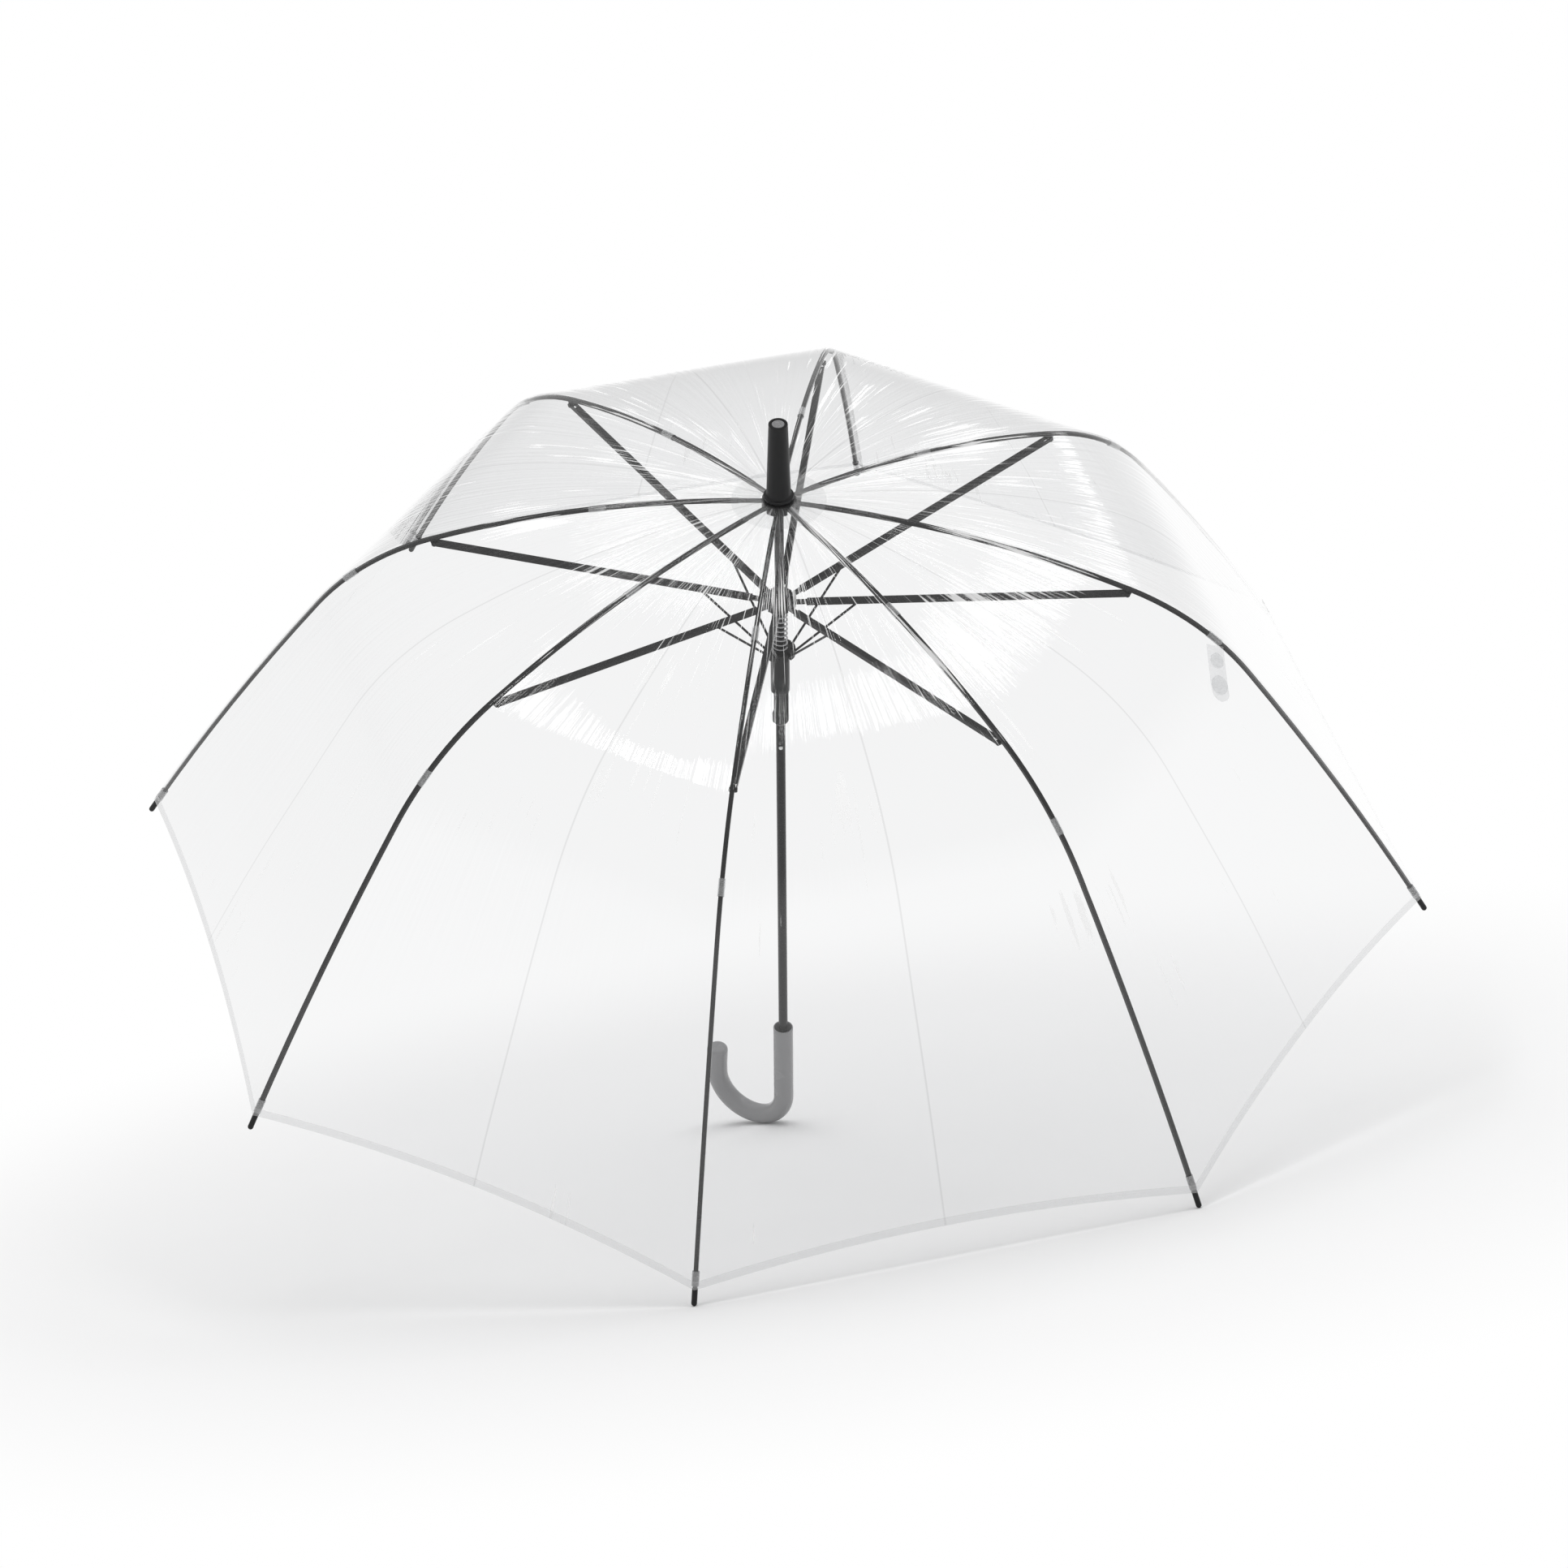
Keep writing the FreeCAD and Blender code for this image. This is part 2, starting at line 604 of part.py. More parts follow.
def rest_placement():
    """The lean that puts the crook and the two floor ribs' caps on one plane, with that plane level."""
    tips = [upright_point(cap_centre(), rib_azimuth(number)) for number in FLOOR_RIBS]
    side = upright_point((1, 0), HOOK_AZIMUTH)
    centre = Vector(0, 0, HANDLE_MOUTH - HANDLE_STRAIGHT) + side * HOOK_R
    up = Vector(0, 0, 1)
    for _ in range(LEAN_STEPS):
        sideways = side * up.dot(side) + Vector(0, 0, up.z)
        low = centre - sideways.normalize() * HOOK_R - up * (HANDLE_R - CAP_R)
        up = (tips[0] - low).cross(tips[1] - low).normalize()
        if up.z < 0:
            up = up * -1
    forward = (low - (tips[0] + tips[1]) * 0.5).normalize()
    right = forward.cross(up)
    matrix = Matrix(
        right.x, right.y, right.z, 0,
        forward.x, forward.y, forward.z, 0,
        up.x, up.y, up.z, 0,
        0, 0, 0, 1,
    )
    lean = Placement(Vector(0, 0, CAP_R - tips[0].dot(up)), Rotation(matrix))
    spread = FreeCAD.BoundBox()
    for number in range(1, RIB_COUNT + 1):
        spread.add(lean.multVec(upright_point(cap_centre(), rib_azimuth(number))))
    return Placement(Vector(-spread.Center.x, -spread.Center.y, 0), Rotation()).multiply(lean)


def upright_nodes():
    """Every node's shape, upright, by name."""
    tab, snaps = strap_pieces()
    single = {
        "shaft": shaft(), "top_notch": top_notch(), "notch_wire": wire_ring(NOTCH_WIRE_R),
        "ferrule": ferrule(), "ferrule_pin": ferrule_pin(), "canopy_rosette": canopy_rosette(),
        "handle": handle(),
        "runner_crown": runner_crown(), "runner": runner(), "opening_spring": opening_spring(),
    }
    strap = {"closure_strap": tab, "strap_snaps": snaps}
    around = {
        "rib": rib(), "tip_cap": tip_cap(), "canopy_ties": canopy_ties(), "canopy_panel": canopy_panel(),
        "stretcher": stretcher(), "wire_strut": wire_strut(),
    }
    nodes = dict(single)
    for name, shape in strap.items():
        nodes[name] = turned(shape, rib_azimuth(STRAP_RIB))
    for name, shape in around.items():
        for number in range(1, RIB_COUNT + 1):
            nodes["%s_%d" % (name, number)] = turned(shape, rib_azimuth(number))
    return nodes


def main():
    os.makedirs("parts", exist_ok=True)
    rest = rest_placement()
    for name, shape in upright_nodes().items():
        placed = shape.copy()
        placed.transformShape(rest.toMatrix())
        placed.exportStep("parts/%s.step" % name)


main()
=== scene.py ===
"""Clear dome umbrella, open on the floor: film, crook, fittings, finishes, stage and camera.

Pieces are drawn upright, with the shaft along Z and the rib hinges at z = 0, and are then laid into the
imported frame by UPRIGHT. Rib 5 lies along +X when upright and the ribs follow each other every 45 degrees.
Lengths are in metres.
"""
import json
import math

import bpy
from bpy.props import FloatProperty, FloatVectorProperty, IntProperty, PointerProperty
from mathutils import Matrix, Vector, noise


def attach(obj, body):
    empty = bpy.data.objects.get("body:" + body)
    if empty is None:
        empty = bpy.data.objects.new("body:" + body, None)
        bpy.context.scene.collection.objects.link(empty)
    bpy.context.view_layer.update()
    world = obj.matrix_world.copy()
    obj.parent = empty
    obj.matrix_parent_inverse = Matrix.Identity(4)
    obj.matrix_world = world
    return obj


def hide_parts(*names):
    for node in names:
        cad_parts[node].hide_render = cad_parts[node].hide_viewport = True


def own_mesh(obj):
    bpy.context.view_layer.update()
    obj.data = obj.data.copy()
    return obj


bl_info = {
    "name": "Clear Dome Umbrella",
    "version": (1, 0, 0),
    "blender": (4, 5, 0),
    "location": "3D View > Sidebar > Umbrella",
    "description": "Builds the film, crook, fittings and finishes of a clear dome umbrella on its frame",
    "category": "Object",
}

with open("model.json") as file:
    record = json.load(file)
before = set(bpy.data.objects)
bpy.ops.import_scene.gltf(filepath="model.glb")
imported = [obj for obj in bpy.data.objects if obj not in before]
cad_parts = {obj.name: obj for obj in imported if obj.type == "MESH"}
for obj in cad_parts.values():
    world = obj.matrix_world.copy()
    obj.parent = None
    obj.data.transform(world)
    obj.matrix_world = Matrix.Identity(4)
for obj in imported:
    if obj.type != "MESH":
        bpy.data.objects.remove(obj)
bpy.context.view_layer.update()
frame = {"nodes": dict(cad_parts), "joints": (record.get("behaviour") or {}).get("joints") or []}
JOINTS = {joint["name"]: joint for joint in frame["joints"]}
RIB_NUMBERS = range(1, 9)
GORE = math.radians(45)
HALF_GORE = GORE / 2
DRAWN_RIB = 5
MM = 0.001
CROWN_HEIGHT = -92 * MM
FLANGE_HEIGHT = -139 * MM
# Height of the small white dome on the shaft, a painted highlight that stands for a glint.
GLINT_DOME_HEIGHT = -230 * MM
HINGE_RADIUS = 9.5 * MM
SHAFT_RADIUS = 3.5 * MM
PRESS_FIT = 0.02 * MM
WELD_SHADE = 0.07
HEAD_ON_GLOSS = 0.04


def upright_matrix():
    """From the upright drawing to the leaning umbrella, read from the frame's joints."""
    up = -Vector(JOINTS["runner_slide"]["axis"])
    side = Vector(JOINTS["rib_fold_%d" % DRAWN_RIB]["axis"])
    hinges = [Vector(JOINTS["rib_fold_%d" % number]["pos_m"]) for number in RIB_NUMBERS]
    matrix = Matrix((side.cross(up), side, up)).transposed().to_4x4()
    matrix.translation = sum(hinges, Vector()) / len(hinges)
    return matrix


UPRIGHT = upright_matrix()


def in_rib_plane(joint):
    """A joint of the drawn rib as (radius, height)."""
    point = UPRIGHT.inverted() @ Vector(JOINTS["%s_%d" % (joint, DRAWN_RIB)]["pos_m"])
    return point.x, point.z


def about_shaft(number):
    """The turn from the drawn rib to another."""
    return Matrix.Rotation((number - DRAWN_RIB) * GORE, 4, "Z")


def outward(heading):
    """Direction out of the dome where the rib's line has a heading below the horizontal."""
    return math.sin(heading), math.cos(heading)


def along(heading):
    """Direction along the rib's line at a heading below the horizontal."""
    return math.cos(heading), -math.sin(heading)


def step(point, direction, length):
    """A point moved by a length in a direction."""
    return point[0] + direction[0] * length, point[1] + direction[1] * length


class Arc:
    """An arc of the rib's centre line, from a heading below the horizontal down to an end point."""

    def __init__(self, start, heading, end):
        rise = start[1] - end[1]
        run = end[0] - start[0]
        half_turn = math.atan2(rise, run) - heading
        self.first = heading
        self.last = heading + 2 * half_turn
        self.radius = math.hypot(rise, run) / (2 * math.sin(half_turn))
        self.centre = step(start, outward(heading), -self.radius)
        self.length = self.radius * 2 * half_turn


class RibLine:
    """The rib's centre line: a shallow arc from the hub, a sharper bend and a long straighter end."""

    HEADING = math.radians(3.9)
    JOINT_HEADING = math.radians(22)
    LUG_DROP = 4 * MM
    KNEE_LENGTH = 115 * MM
    KNEE_HEADING = math.radians(53.5)
    TIP = (490 * MM, -343 * MM)

    def __init__(self):
        joint = step(in_rib_plane("stretcher_fold"), outward(self.JOINT_HEADING), self.LUG_DROP)
        inner = Arc(in_rib_plane("rib_fold"), self.HEADING, joint)
        half_turn = (self.KNEE_HEADING - inner.last) / 2
        chord = self.KNEE_LENGTH / half_turn * math.sin(half_turn)
        knee = step(joint, along(inner.last + half_turn), chord)
        bend = Arc(joint, inner.last, knee)
        self.arcs = (inner, bend, Arc(knee, bend.last, self.TIP))
        self.joint_at = inner.length
        self.length = sum(arc.length for arc in self.arcs)

    def at(self, length, offset=0.0):
        """The (radius, height) and heading at a length along the rib, lifted off the centre line."""
        for arc in self.arcs:
            if length <= arc.length or arc is self.arcs[-1]:
                break
            length -= arc.length
        heading = arc.first + length / arc.radius
        return step(arc.centre, outward(heading), arc.radius + offset), heading

    def frame_at(self, length, offset=0.0):
        """Upright matrix on the drawn rib: X runs along it to the tip and Z points out of the dome."""
        point, heading = self.at(length, offset)
        x_axis = Vector((math.cos(heading), 0, -math.sin(heading)))
        z_axis = Vector((math.sin(heading), 0, math.cos(heading)))
        matrix = Matrix((x_axis, z_axis.cross(x_axis), z_axis)).transposed().to_4x4()
        matrix.translation = (point[0], 0, point[1])
        return matrix


RIB = RibLine()


class UmbrellaSizes(bpy.types.PropertyGroup):
    """Sizes that a user would change."""

    film_offset: FloatProperty(
        name="Film offset", description="Height of the film above the rib's centre line",
        default=2.9 * MM, unit="LENGTH")
    film_start: FloatProperty(
        name="Film start", description="Length along the rib where the film begins, beside the hub",
        default=4 * MM, unit="LENGTH")
    film_end: FloatProperty(
        name="Film end", description="Length of bare rib tip past the hem", default=12 * MM, unit="LENGTH")
    hem_rise: FloatProperty(
        name="Hem rise", description="How far the hem curves up between two ribs",
        default=12 * MM, unit="LENGTH")
    hem_width: FloatProperty(
        name="Hem width", description="Width of the folded hem", default=6 * MM, unit="LENGTH")
    film_rows: IntProperty(name="Film rows", description="Rows of faces from hub to hem", default=130, min=20)
    film_columns: IntProperty(name="Film columns", description="Faces across one panel", default=48, min=8)
    pleat: FloatProperty(
        name="Hub pleats", description="Height of the tension pleats beside the hub",
        default=0.3 * MM, unit="LENGTH")
    slack: FloatProperty(
        name="Film slack", description="Height of the film's slow waves", default=1.3 * MM, unit="LENGTH")
    folded_share: FloatProperty(
        name="Folded width", description="Share of a panel's width that is left when the umbrella is shut",
        default=0.25, min=0.05, max=1)
    tie_radius: FloatProperty(
        name="Tie radius", description="Outer radius of a film tie", default=2.6 * MM, unit="LENGTH")
    tie_wall: FloatProperty(
        name="Tie wall", description="Wall of a film tie", default=0.45 * MM, unit="LENGTH")
    tie_length: FloatProperty(
        name="Tie length", description="Length of a film tie", default=13 * MM, unit="LENGTH")
    inner_tie: FloatProperty(
        name="Inner tie", description="Inner tie's distance from the hub hinge",
        default=126 * MM, unit="LENGTH")
    outer_tie: FloatProperty(
        name="Outer tie", description="Outer tie's distance past the stretcher's joint",
        default=75 * MM, unit="LENGTH")
    grip_radius: FloatProperty(
        name="Grip radius", description="Radius of the crook's grip", default=7.7 * MM, unit="LENGTH")
    grip_top: FloatProperty(
        name="Grip top", description="Height of the grip's mouth below the hub",
        default=-514 * MM, unit="LENGTH")
    grip_length: FloatProperty(
        name="Grip length", description="Straight part of the grip", default=72 * MM, unit="LENGTH")
    hook_radius: FloatProperty(
        name="Hook radius", description="Radius of the crook's bend", default=30 * MM, unit="LENGTH")
    hook_rise: FloatProperty(
        name="Hook rise", description="Straight rise after the bend", default=25 * MM, unit="LENGTH")
    spring_turns: FloatProperty(name="Spring turns", description="Turns of the opening spring", default=9)
    spring_radius: FloatProperty(
        name="Spring radius", description="Radius of the opening spring", default=5.3 * MM, unit="LENGTH")
    spring_wire: FloatProperty(
        name="Spring wire", description="Wire radius of the opening spring", default=0.7 * MM, unit="LENGTH")
    rosette_radius: FloatProperty(
        name="Rosette radius", description="Radius of the clear hub patch", default=35 * MM, unit="LENGTH")


class UmbrellaLooks(bpy.types.PropertyGroup):
    """Colours, stage and camera that a user would change."""

    steel: FloatVectorProperty(
        name="Steel", description="Painted steel of the ribs, stretchers and shaft", subtype="COLOR",
        default=(0.010, 0.010, 0.0105))
    plastic: FloatVectorProperty(
        name="Black plastic", description="Ferrule, runner and tip caps", subtype="COLOR",
        default=(0.006, 0.006, 0.0065))
    grip: FloatVectorProperty(
        name="Grip", description="Grey plastic of the crook", subtype="COLOR", default=(0.235, 0.235, 0.24))
    bright: FloatVectorProperty(
        name="Bright steel", description="Spring, hub wire and ferrule pin", subtype="COLOR",
        default=(0.45, 0.45, 0.46))
    film: FloatVectorProperty(
        name="Film", description="Light that passes one layer of film", subtype="COLOR",
        default=(0.928, 0.930, 0.933))
    camera_place: FloatVectorProperty(
        name="Camera", description="Where the camera stands", subtype="TRANSLATION",
        default=(-1.1075, -4.8483, 1.1261))
    camera_aim: FloatVectorProperty(
        name="Camera aim", description="What the camera looks at", subtype="TRANSLATION",
        default=(0.0, -0.0434, 0.298))
    camera_roll: FloatProperty(
        name="Camera roll", description="Turn of the camera about its line of sight", subtype="ANGLE",
        default=math.radians(-8.2))
    lens: FloatProperty(name="Lens", description="Focal length in millimetres", default=152.1, min=10)
    floor_size: FloatProperty(name="Floor", description="Half width of the floor", default=40, unit="LENGTH")
    floor_fade: FloatProperty(
        name="Floor fade", description="Distance at which the floor has become evenly white",
        default=0.95, unit="LENGTH")


class Shader:
    """A node material that is built from short calls."""

    def __init__(self, name):
        self.material = bpy.data.materials.new(name)
        self.material.use_nodes = True
        self.tree = self.material.node_tree
        self.tree.nodes.clear()

    def add(self, kind, inputs=None, output=0, **settings):
        """Adds a node, sets or links its inputs and gives back one of its outputs."""
        made = self.tree.nodes.new("ShaderNode" + kind)
        for name, value in settings.items():
            setattr(made, name, value)
        for name, value in (inputs or {}).items():
            if isinstance(value, bpy.types.NodeSocket):
                self.tree.links.new(value, made.inputs[name])
            else:
                made.inputs[name].default_value = value
        return made.outputs[output]

    def math(self, operation, first, second=0.0, clamp=False):
        return self.add("Math", {0: first, 1: second}, operation=operation, use_clamp=clamp)

    def noise(self, vector, scale, detail=3.0, roughness=0.5):
        inputs = {"Vector": vector, "Scale": scale, "Detail": detail, "Roughness": roughness}
        return self.add("TexNoise", inputs)

    def span(self, value, low, high, to_low, to_high):
        inputs = {"Value": value, "From Min": low, "From Max": high, "To Min": to_low, "To Max": to_high}
        return self.add("MapRange", inputs)

    def place(self):
        return self.add("TexCoord", output="Object")

    def stretched(self, vector, scale):
        return self.add("Mapping", {"Vector": vector, "Scale": scale})

    def attribute(self, name):
        return self.add("Attribute", output="Fac", attribute_name=name)

    def finish(self, surface):
        ending = self.tree.nodes.new("ShaderNodeOutputMaterial")
        self.tree.links.new(surface, ending.inputs["Surface"])
        return self.material


def tinted(shader, colour, amount, pattern):
    """A colour that a pattern makes a little lighter and darker."""
    low = [channel * (1 - amount) for channel in colour]
    high = [channel * (1 + amount) for channel in colour]
    factor, first, second, blended = 0, 6, 7, 2
    inputs = {factor: pattern, first: (*low, 1), second: (*high, 1)}
    return shader.add("Mix", inputs, output=blended, data_type="RGBA")


def painted_steel(name, colour, roughness):
    """Semi-gloss paint over drawn steel: faint orange peel, handling marks and a little wear."""
    shader = Shader(name)
    place = shader.place()
    wear = shader.noise(place, 90, 5, 0.6)
    peel = shader.noise(place, 1400, 2)
    bump = shader.add("Bump", {"Strength": 0.05, "Distance": 0.0002, "Height": peel})
    surface = shader.add("BsdfPrincipled", {
        "Base Color": tinted(shader, colour, 0.15, wear),
        "Metallic": 0.3,
        "Specular IOR Level": 0.35,
        "Roughness": shader.span(wear, 0.3, 0.7, roughness - 0.06, roughness + 0.08),
        "Normal": bump,
    })
    return shader.finish(surface)


def moulded_plastic(name, colour, roughness, coat):
    """Moulded plastic with a fine spark grain and slow colour change."""
    shader = Shader(name)
    place = shader.place()
    cloud = shader.noise(place, 60, 4)
    grain = shader.noise(place, 2600, 2)
    bump = shader.add("Bump", {"Strength": 0.10, "Distance": 0.0002, "Height": grain})
    surface = shader.add("BsdfPrincipled", {
        "Base Color": tinted(shader, colour, 0.08, cloud),
        "Roughness": shader.span(cloud, 0.3, 0.7, roughness - 0.04, roughness + 0.05),
        "Specular IOR Level": 0.3,
        "Coat Weight": coat,
        "Coat Roughness": 0.08,
        "Normal": bump,
    })
    return shader.finish(surface)


def drawn_wire(name, colour):
    """Bright drawn steel with fine marks."""
    shader = Shader(name)
    place = shader.place()
    marks = shader.noise(shader.stretched(place, (1, 1, 6)), 900, 4)
    bump = shader.add("Bump", {"Strength": 0.2, "Distance": 0.0001, "Height": marks})
    surface = shader.add("BsdfPrincipled", {
        "Base Color": tinted(shader, colour, 0.15, marks),
        "Metallic": 1.0,
        "Roughness": shader.span(marks, 0.3, 0.7, 0.22, 0.38),
        "Normal": bump,
    })
    return shader.finish(surface)


def see_through(shader, tint, gloss, roughness, haze, bump):
    """Clear plastic: light passes straight through, with gloss that grows at a slant and a little haze."""
    through = shader.add("BsdfTransparent", {"Color": tint})
    shine = shader.add("BsdfAnisotropic", {"Color": (1, 1, 1, 1), "Roughness": roughness, "Normal": bump})
    slant = shader.add("LayerWeight", {"Blend": 0.5, "Normal": bump}, output="Facing")
    edge = shader.span(shader.math("POWER", slant, 5.0), 0.0, 1.0, HEAD_ON_GLOSS, 1.0)
    share = shader.math("MULTIPLY", edge, gloss, clamp=True)
    clear = shader.add("MixShader", {0: share, 1: through, 2: shine})
    milk = shader.add("BsdfDiffuse", {"Color": (0.97, 0.97, 0.97, 1)})
    return shader.add("MixShader", {0: haze, 1: clear, 2: milk})


def clear_film(tint):
    """The canopy film: streaks from hub to hem, brushed scuffs and a weld along the middle of each gore."""
    shader = Shader("polished_film")
    fan = shader.add("UVMap", uv_map="fan")
    length = shader.add("SeparateXYZ", {"Vector": fan}, output="Y")
    streaks = shader.noise(shader.stretched(fan, (64, 2.5, 1)), 1.0, 2, 0.45)
    ragged = shader.noise(shader.stretched(fan, (22, 14, 1)), 1.0, 2, 0.5)
    height = shader.math("ADD", streaks, shader.math("MULTIPLY", ragged, 0.5))
    bump = shader.add("Bump", {"Strength": 0.45, "Distance": 0.0016, "Height": height})
    beside_weld = shader.span(shader.attribute("rim"), 0.4 * MM, 0.8 * MM, 0.0, 1.0)
    passing = tinted(shader, [channel / (1 + WELD_SHADE) for channel in tint], WELD_SHADE, beside_weld)
    bristles = shader.noise(shader.stretched(fan, (58, 9, 1)), 1.0, 3, 0.55)
    patches = shader.noise(shader.stretched(fan, (2.1, 8, 1)), 1.0, 2, 0.5)
    lines = shader.noise(shader.stretched(fan, (130, 5, 1)), 1.0, 1, 0.5)
    near_hub = shader.span(length, 0.14, 0.40, 0.10, -0.06)
    spread = shader.math("ADD", shader.math("ADD", bristles, patches), near_hub)
    scuffs = shader.span(spread, 1.225, 1.26, 0.0, 0.6)
    fading = shader.span(length, 0.10, 0.24, 1.0, 0.0)
    fine = shader.math("MULTIPLY", shader.span(lines, 0.66, 0.69, 0.0, 0.75), fading)
    haze = shader.math("MAXIMUM", scuffs, fine)
    return shader.finish(see_through(shader, passing, 1.5, 0.022, haze, bump))


def clear_hem(tint):
    """The folded hem: a second layer of film with a faint weld line along its inner edge."""
    shader = Shader("folded_film")
    fan = shader.add("UVMap", uv_map="fan")
    ripples = shader.noise(shader.stretched(fan, (60, 40, 1)), 1.0, 3)
    bump = shader.add("Bump", {"Strength": 0.5, "Distance": 0.0006, "Height": ripples})
    weld = shader.span(shader.attribute("fold"), 0.4 * MM, 0.9 * MM, 0.22, 0.10)
    darker = [channel * 0.94 for channel in tint]
    return shader.finish(see_through(shader, (*darker, 1), 1.9, 0.08, weld, bump))


def clear_fitting(name, tint, haze):
    """Moulded clear plastic of the ties, collars, patch and strap."""
    shader = Shader(name)
    cloud = shader.noise(shader.place(), 220, 3)
    bump = shader.add("Bump", {"Strength": 0.3, "Distance": 0.0004, "Height": cloud})
    milk = shader.span(cloud, 0.3, 0.7, haze * 0.7, haze * 1.3)
    return shader.finish(see_through(shader, (*tint, 1), 2.0, 0.08, milk, bump))


def white_floor(white_from):
    """Paper that takes the soft shadow near the umbrella and is evenly white from a distance on."""
    shader = Shader("white_floor")
    distance = shader.add("VectorMath", {0: shader.place()}, output="Value", operation="LENGTH")
    tooth = shader.noise(shader.place(), 300, 3)
    lit = shader.add("BsdfDiffuse", {"Color": tinted(shader, (0.90, 0.90, 0.902), 0.004, tooth)})
    white = shader.add("Emission", {"Color": (1, 1, 1, 1), "Strength": 1.0})
    inputs = {"Value": distance, "From Min": white_from * 0.5, "From Max": white_from}
    far = shader.add("MapRange", inputs, interpolation_type="SMOOTHSTEP")
    return shader.finish(shader.add("MixShader", {0: far, 1: lit, 2: white}))


def make_materials(looks):
    """Makes every finish, to be looked up by name."""
    painted_steel("steel_paint", looks.steel, 0.25)
    moulded_plastic("black_nylon", looks.plastic, 0.36, 0.0)
    moulded_plastic("grey_gloss", looks.grip, 0.24, 0.35)
    # White finish for the dome on the shaft, a painted highlight that stands for a glint.
    moulded_plastic("painted_glint_white", (0.80, 0.80, 0.80), 0.30, 0.2)
    drawn_wire("drawn_steel", looks.bright)
    clear_film(looks.film)
    clear_hem(looks.film)
    clear_fitting("clear_fitting", (0.86, 0.865, 0.87), 0.13)
    clear_fitting("clear_strap", (0.95, 0.952, 0.955), 0.04)
    clear_fitting("clear_patch", (0.95, 0.953, 0.955), 0.03)
    clear_fitting("clear_snap", (0.94, 0.943, 0.945), 0.04)
    clear_fitting("grey_collar", (0.60, 0.60, 0.61), 0.16)


def finish_of(name):
    """A finish that make_materials has made."""
    return bpy.data.materials[name]


def as_piece(name, mesh, material, turn=Matrix.Identity(4)):
    """Turns an upright mesh about the shaft, lays it into the frame and makes it a smooth object."""
    mesh.transform(UPRIGHT @ turn)
    mesh.materials.clear()
    mesh.materials.append(material)
    mesh.shade_smooth()
    mesh.set_sharp_from_angle(angle=math.radians(38))
    made = bpy.data.objects.new(name, mesh)
    bpy.context.scene.collection.objects.link(made)
    return made


def mesh_of_rings(name, rings):
    """A closed skin over rings of points, in which a ring of one point is a pole."""
    points = [point for ring in rings for point in ring]
    faces = []
    start = 0
    for lower, upper in zip(rings, rings[1:]):
        following = start + len(lower)
        count = max(len(lower), len(upper))
        for side in range(count):
            other = (side + 1) % count
            corners = [start + side % len(lower), start + other % len(lower),
                       following + other % len(upper), following + side % len(upper)]
            faces.append(list(dict.fromkeys(corners)))
        start = following
    mesh = bpy.data.meshes.new(name)
    mesh.from_pydata(points, [], faces)
    mesh.validate()
    return mesh


def ring(matrix, radius, sides):
    """Points round a matrix's Z axis, or its origin alone where the radius is nothing."""
    if radius < 1e-6:
        return [matrix.translation.copy()]
    turns = [2 * math.pi * side / sides for side in range(sides)]
    return [matrix @ Vector((radius * math.cos(turn), radius * math.sin(turn), 0)) for turn in turns]


def lathe(name, outline, sides=72):
    """A turned part about Z. The (radius, height) outline runs anticlockwise: up the outside."""
    rings = [ring(Matrix.Translation((0, 0, high)), radius, sides) for radius, high in outline]
    return mesh_of_rings(name, rings)


def rounded(corner, radius, start_turn, turn, steps=6):
    """Points of a quarter round about a centre, as (radius, height)."""
    turns = [start_turn + turn * count / steps for count in range(steps + 1)]
    return [(corner[0] + radius * math.cos(angle), corner[1] + radius * math.sin(angle)) for angle in turns]


def new_tree(name, sizes):
    """A Geometry Nodes tree with named size inputs and a material input."""
    tree = bpy.data.node_groups.new(name, "GeometryNodeTree")
    tree.interface.new_socket("Geometry", in_out="INPUT", socket_type="NodeSocketGeometry")
    for label, default in sizes.items():
        socket = tree.interface.new_socket(label, in_out="INPUT", socket_type="NodeSocketFloat")
        socket.default_value = default
    tree.interface.new_socket("Material", in_out="INPUT", socket_type="NodeSocketMaterial")
    tree.interface.new_socket("Geometry", in_out="OUTPUT", socket_type="NodeSocketGeometry")
    return tree, tree.nodes.new("NodeGroupInput").outputs


def tree_node(tree, kind, inputs, **settings):
    """Adds a node to a tree, with its inputs set or linked, and gives back its first output."""
    made = tree.nodes.new(kind)
    for name, value in settings.items():
        setattr(made, name, value)
    for name, value in inputs.items():
        if isinstance(value, bpy.types.NodeSocket):
            tree.links.new(value, made.inputs[name])
        else:
            made.inputs[name].default_value = value
    return made.outputs[0]


def close_tree(tree, geometry, material):
    """Ends a tree in real geometry with its material."""
    solid = tree_node(tree, "GeometryNodeRealizeInstances", {"Geometry": geometry})
    painted = tree_node(tree, "GeometryNodeSetMaterial", {"Geometry": solid, "Material": material})
    tree.links.new(painted, tree.nodes.new("NodeGroupOutput").inputs[0])
    return tree


def coil_tree():
    """A wire coil that rises along Z."""
    sizes = {"Coil Radius": 5 * MM, "Wire Radius": MM, "Height": 40 * MM, "Turns": 6.0}
    tree, given = new_tree("wire_coil", sizes)
    path = tree_node(tree, "GeometryNodeCurveSpiral", {
        "Resolution": 40, "Rotations": given["Turns"], "Start Radius": given["Coil Radius"],
        "End Radius": given["Coil Radius"], "Height": given["Height"],
    })
    wire = tree_node(tree, "GeometryNodeCurvePrimitiveCircle", {
        "Resolution": 12, "Radius": given["Wire Radius"]})
    coil = tree_node(tree, "GeometryNodeCurveToMesh", {
        "Curve": path, "Profile Curve": wire, "Fill Caps": True})
    return close_tree(tree, coil, given["Material"])


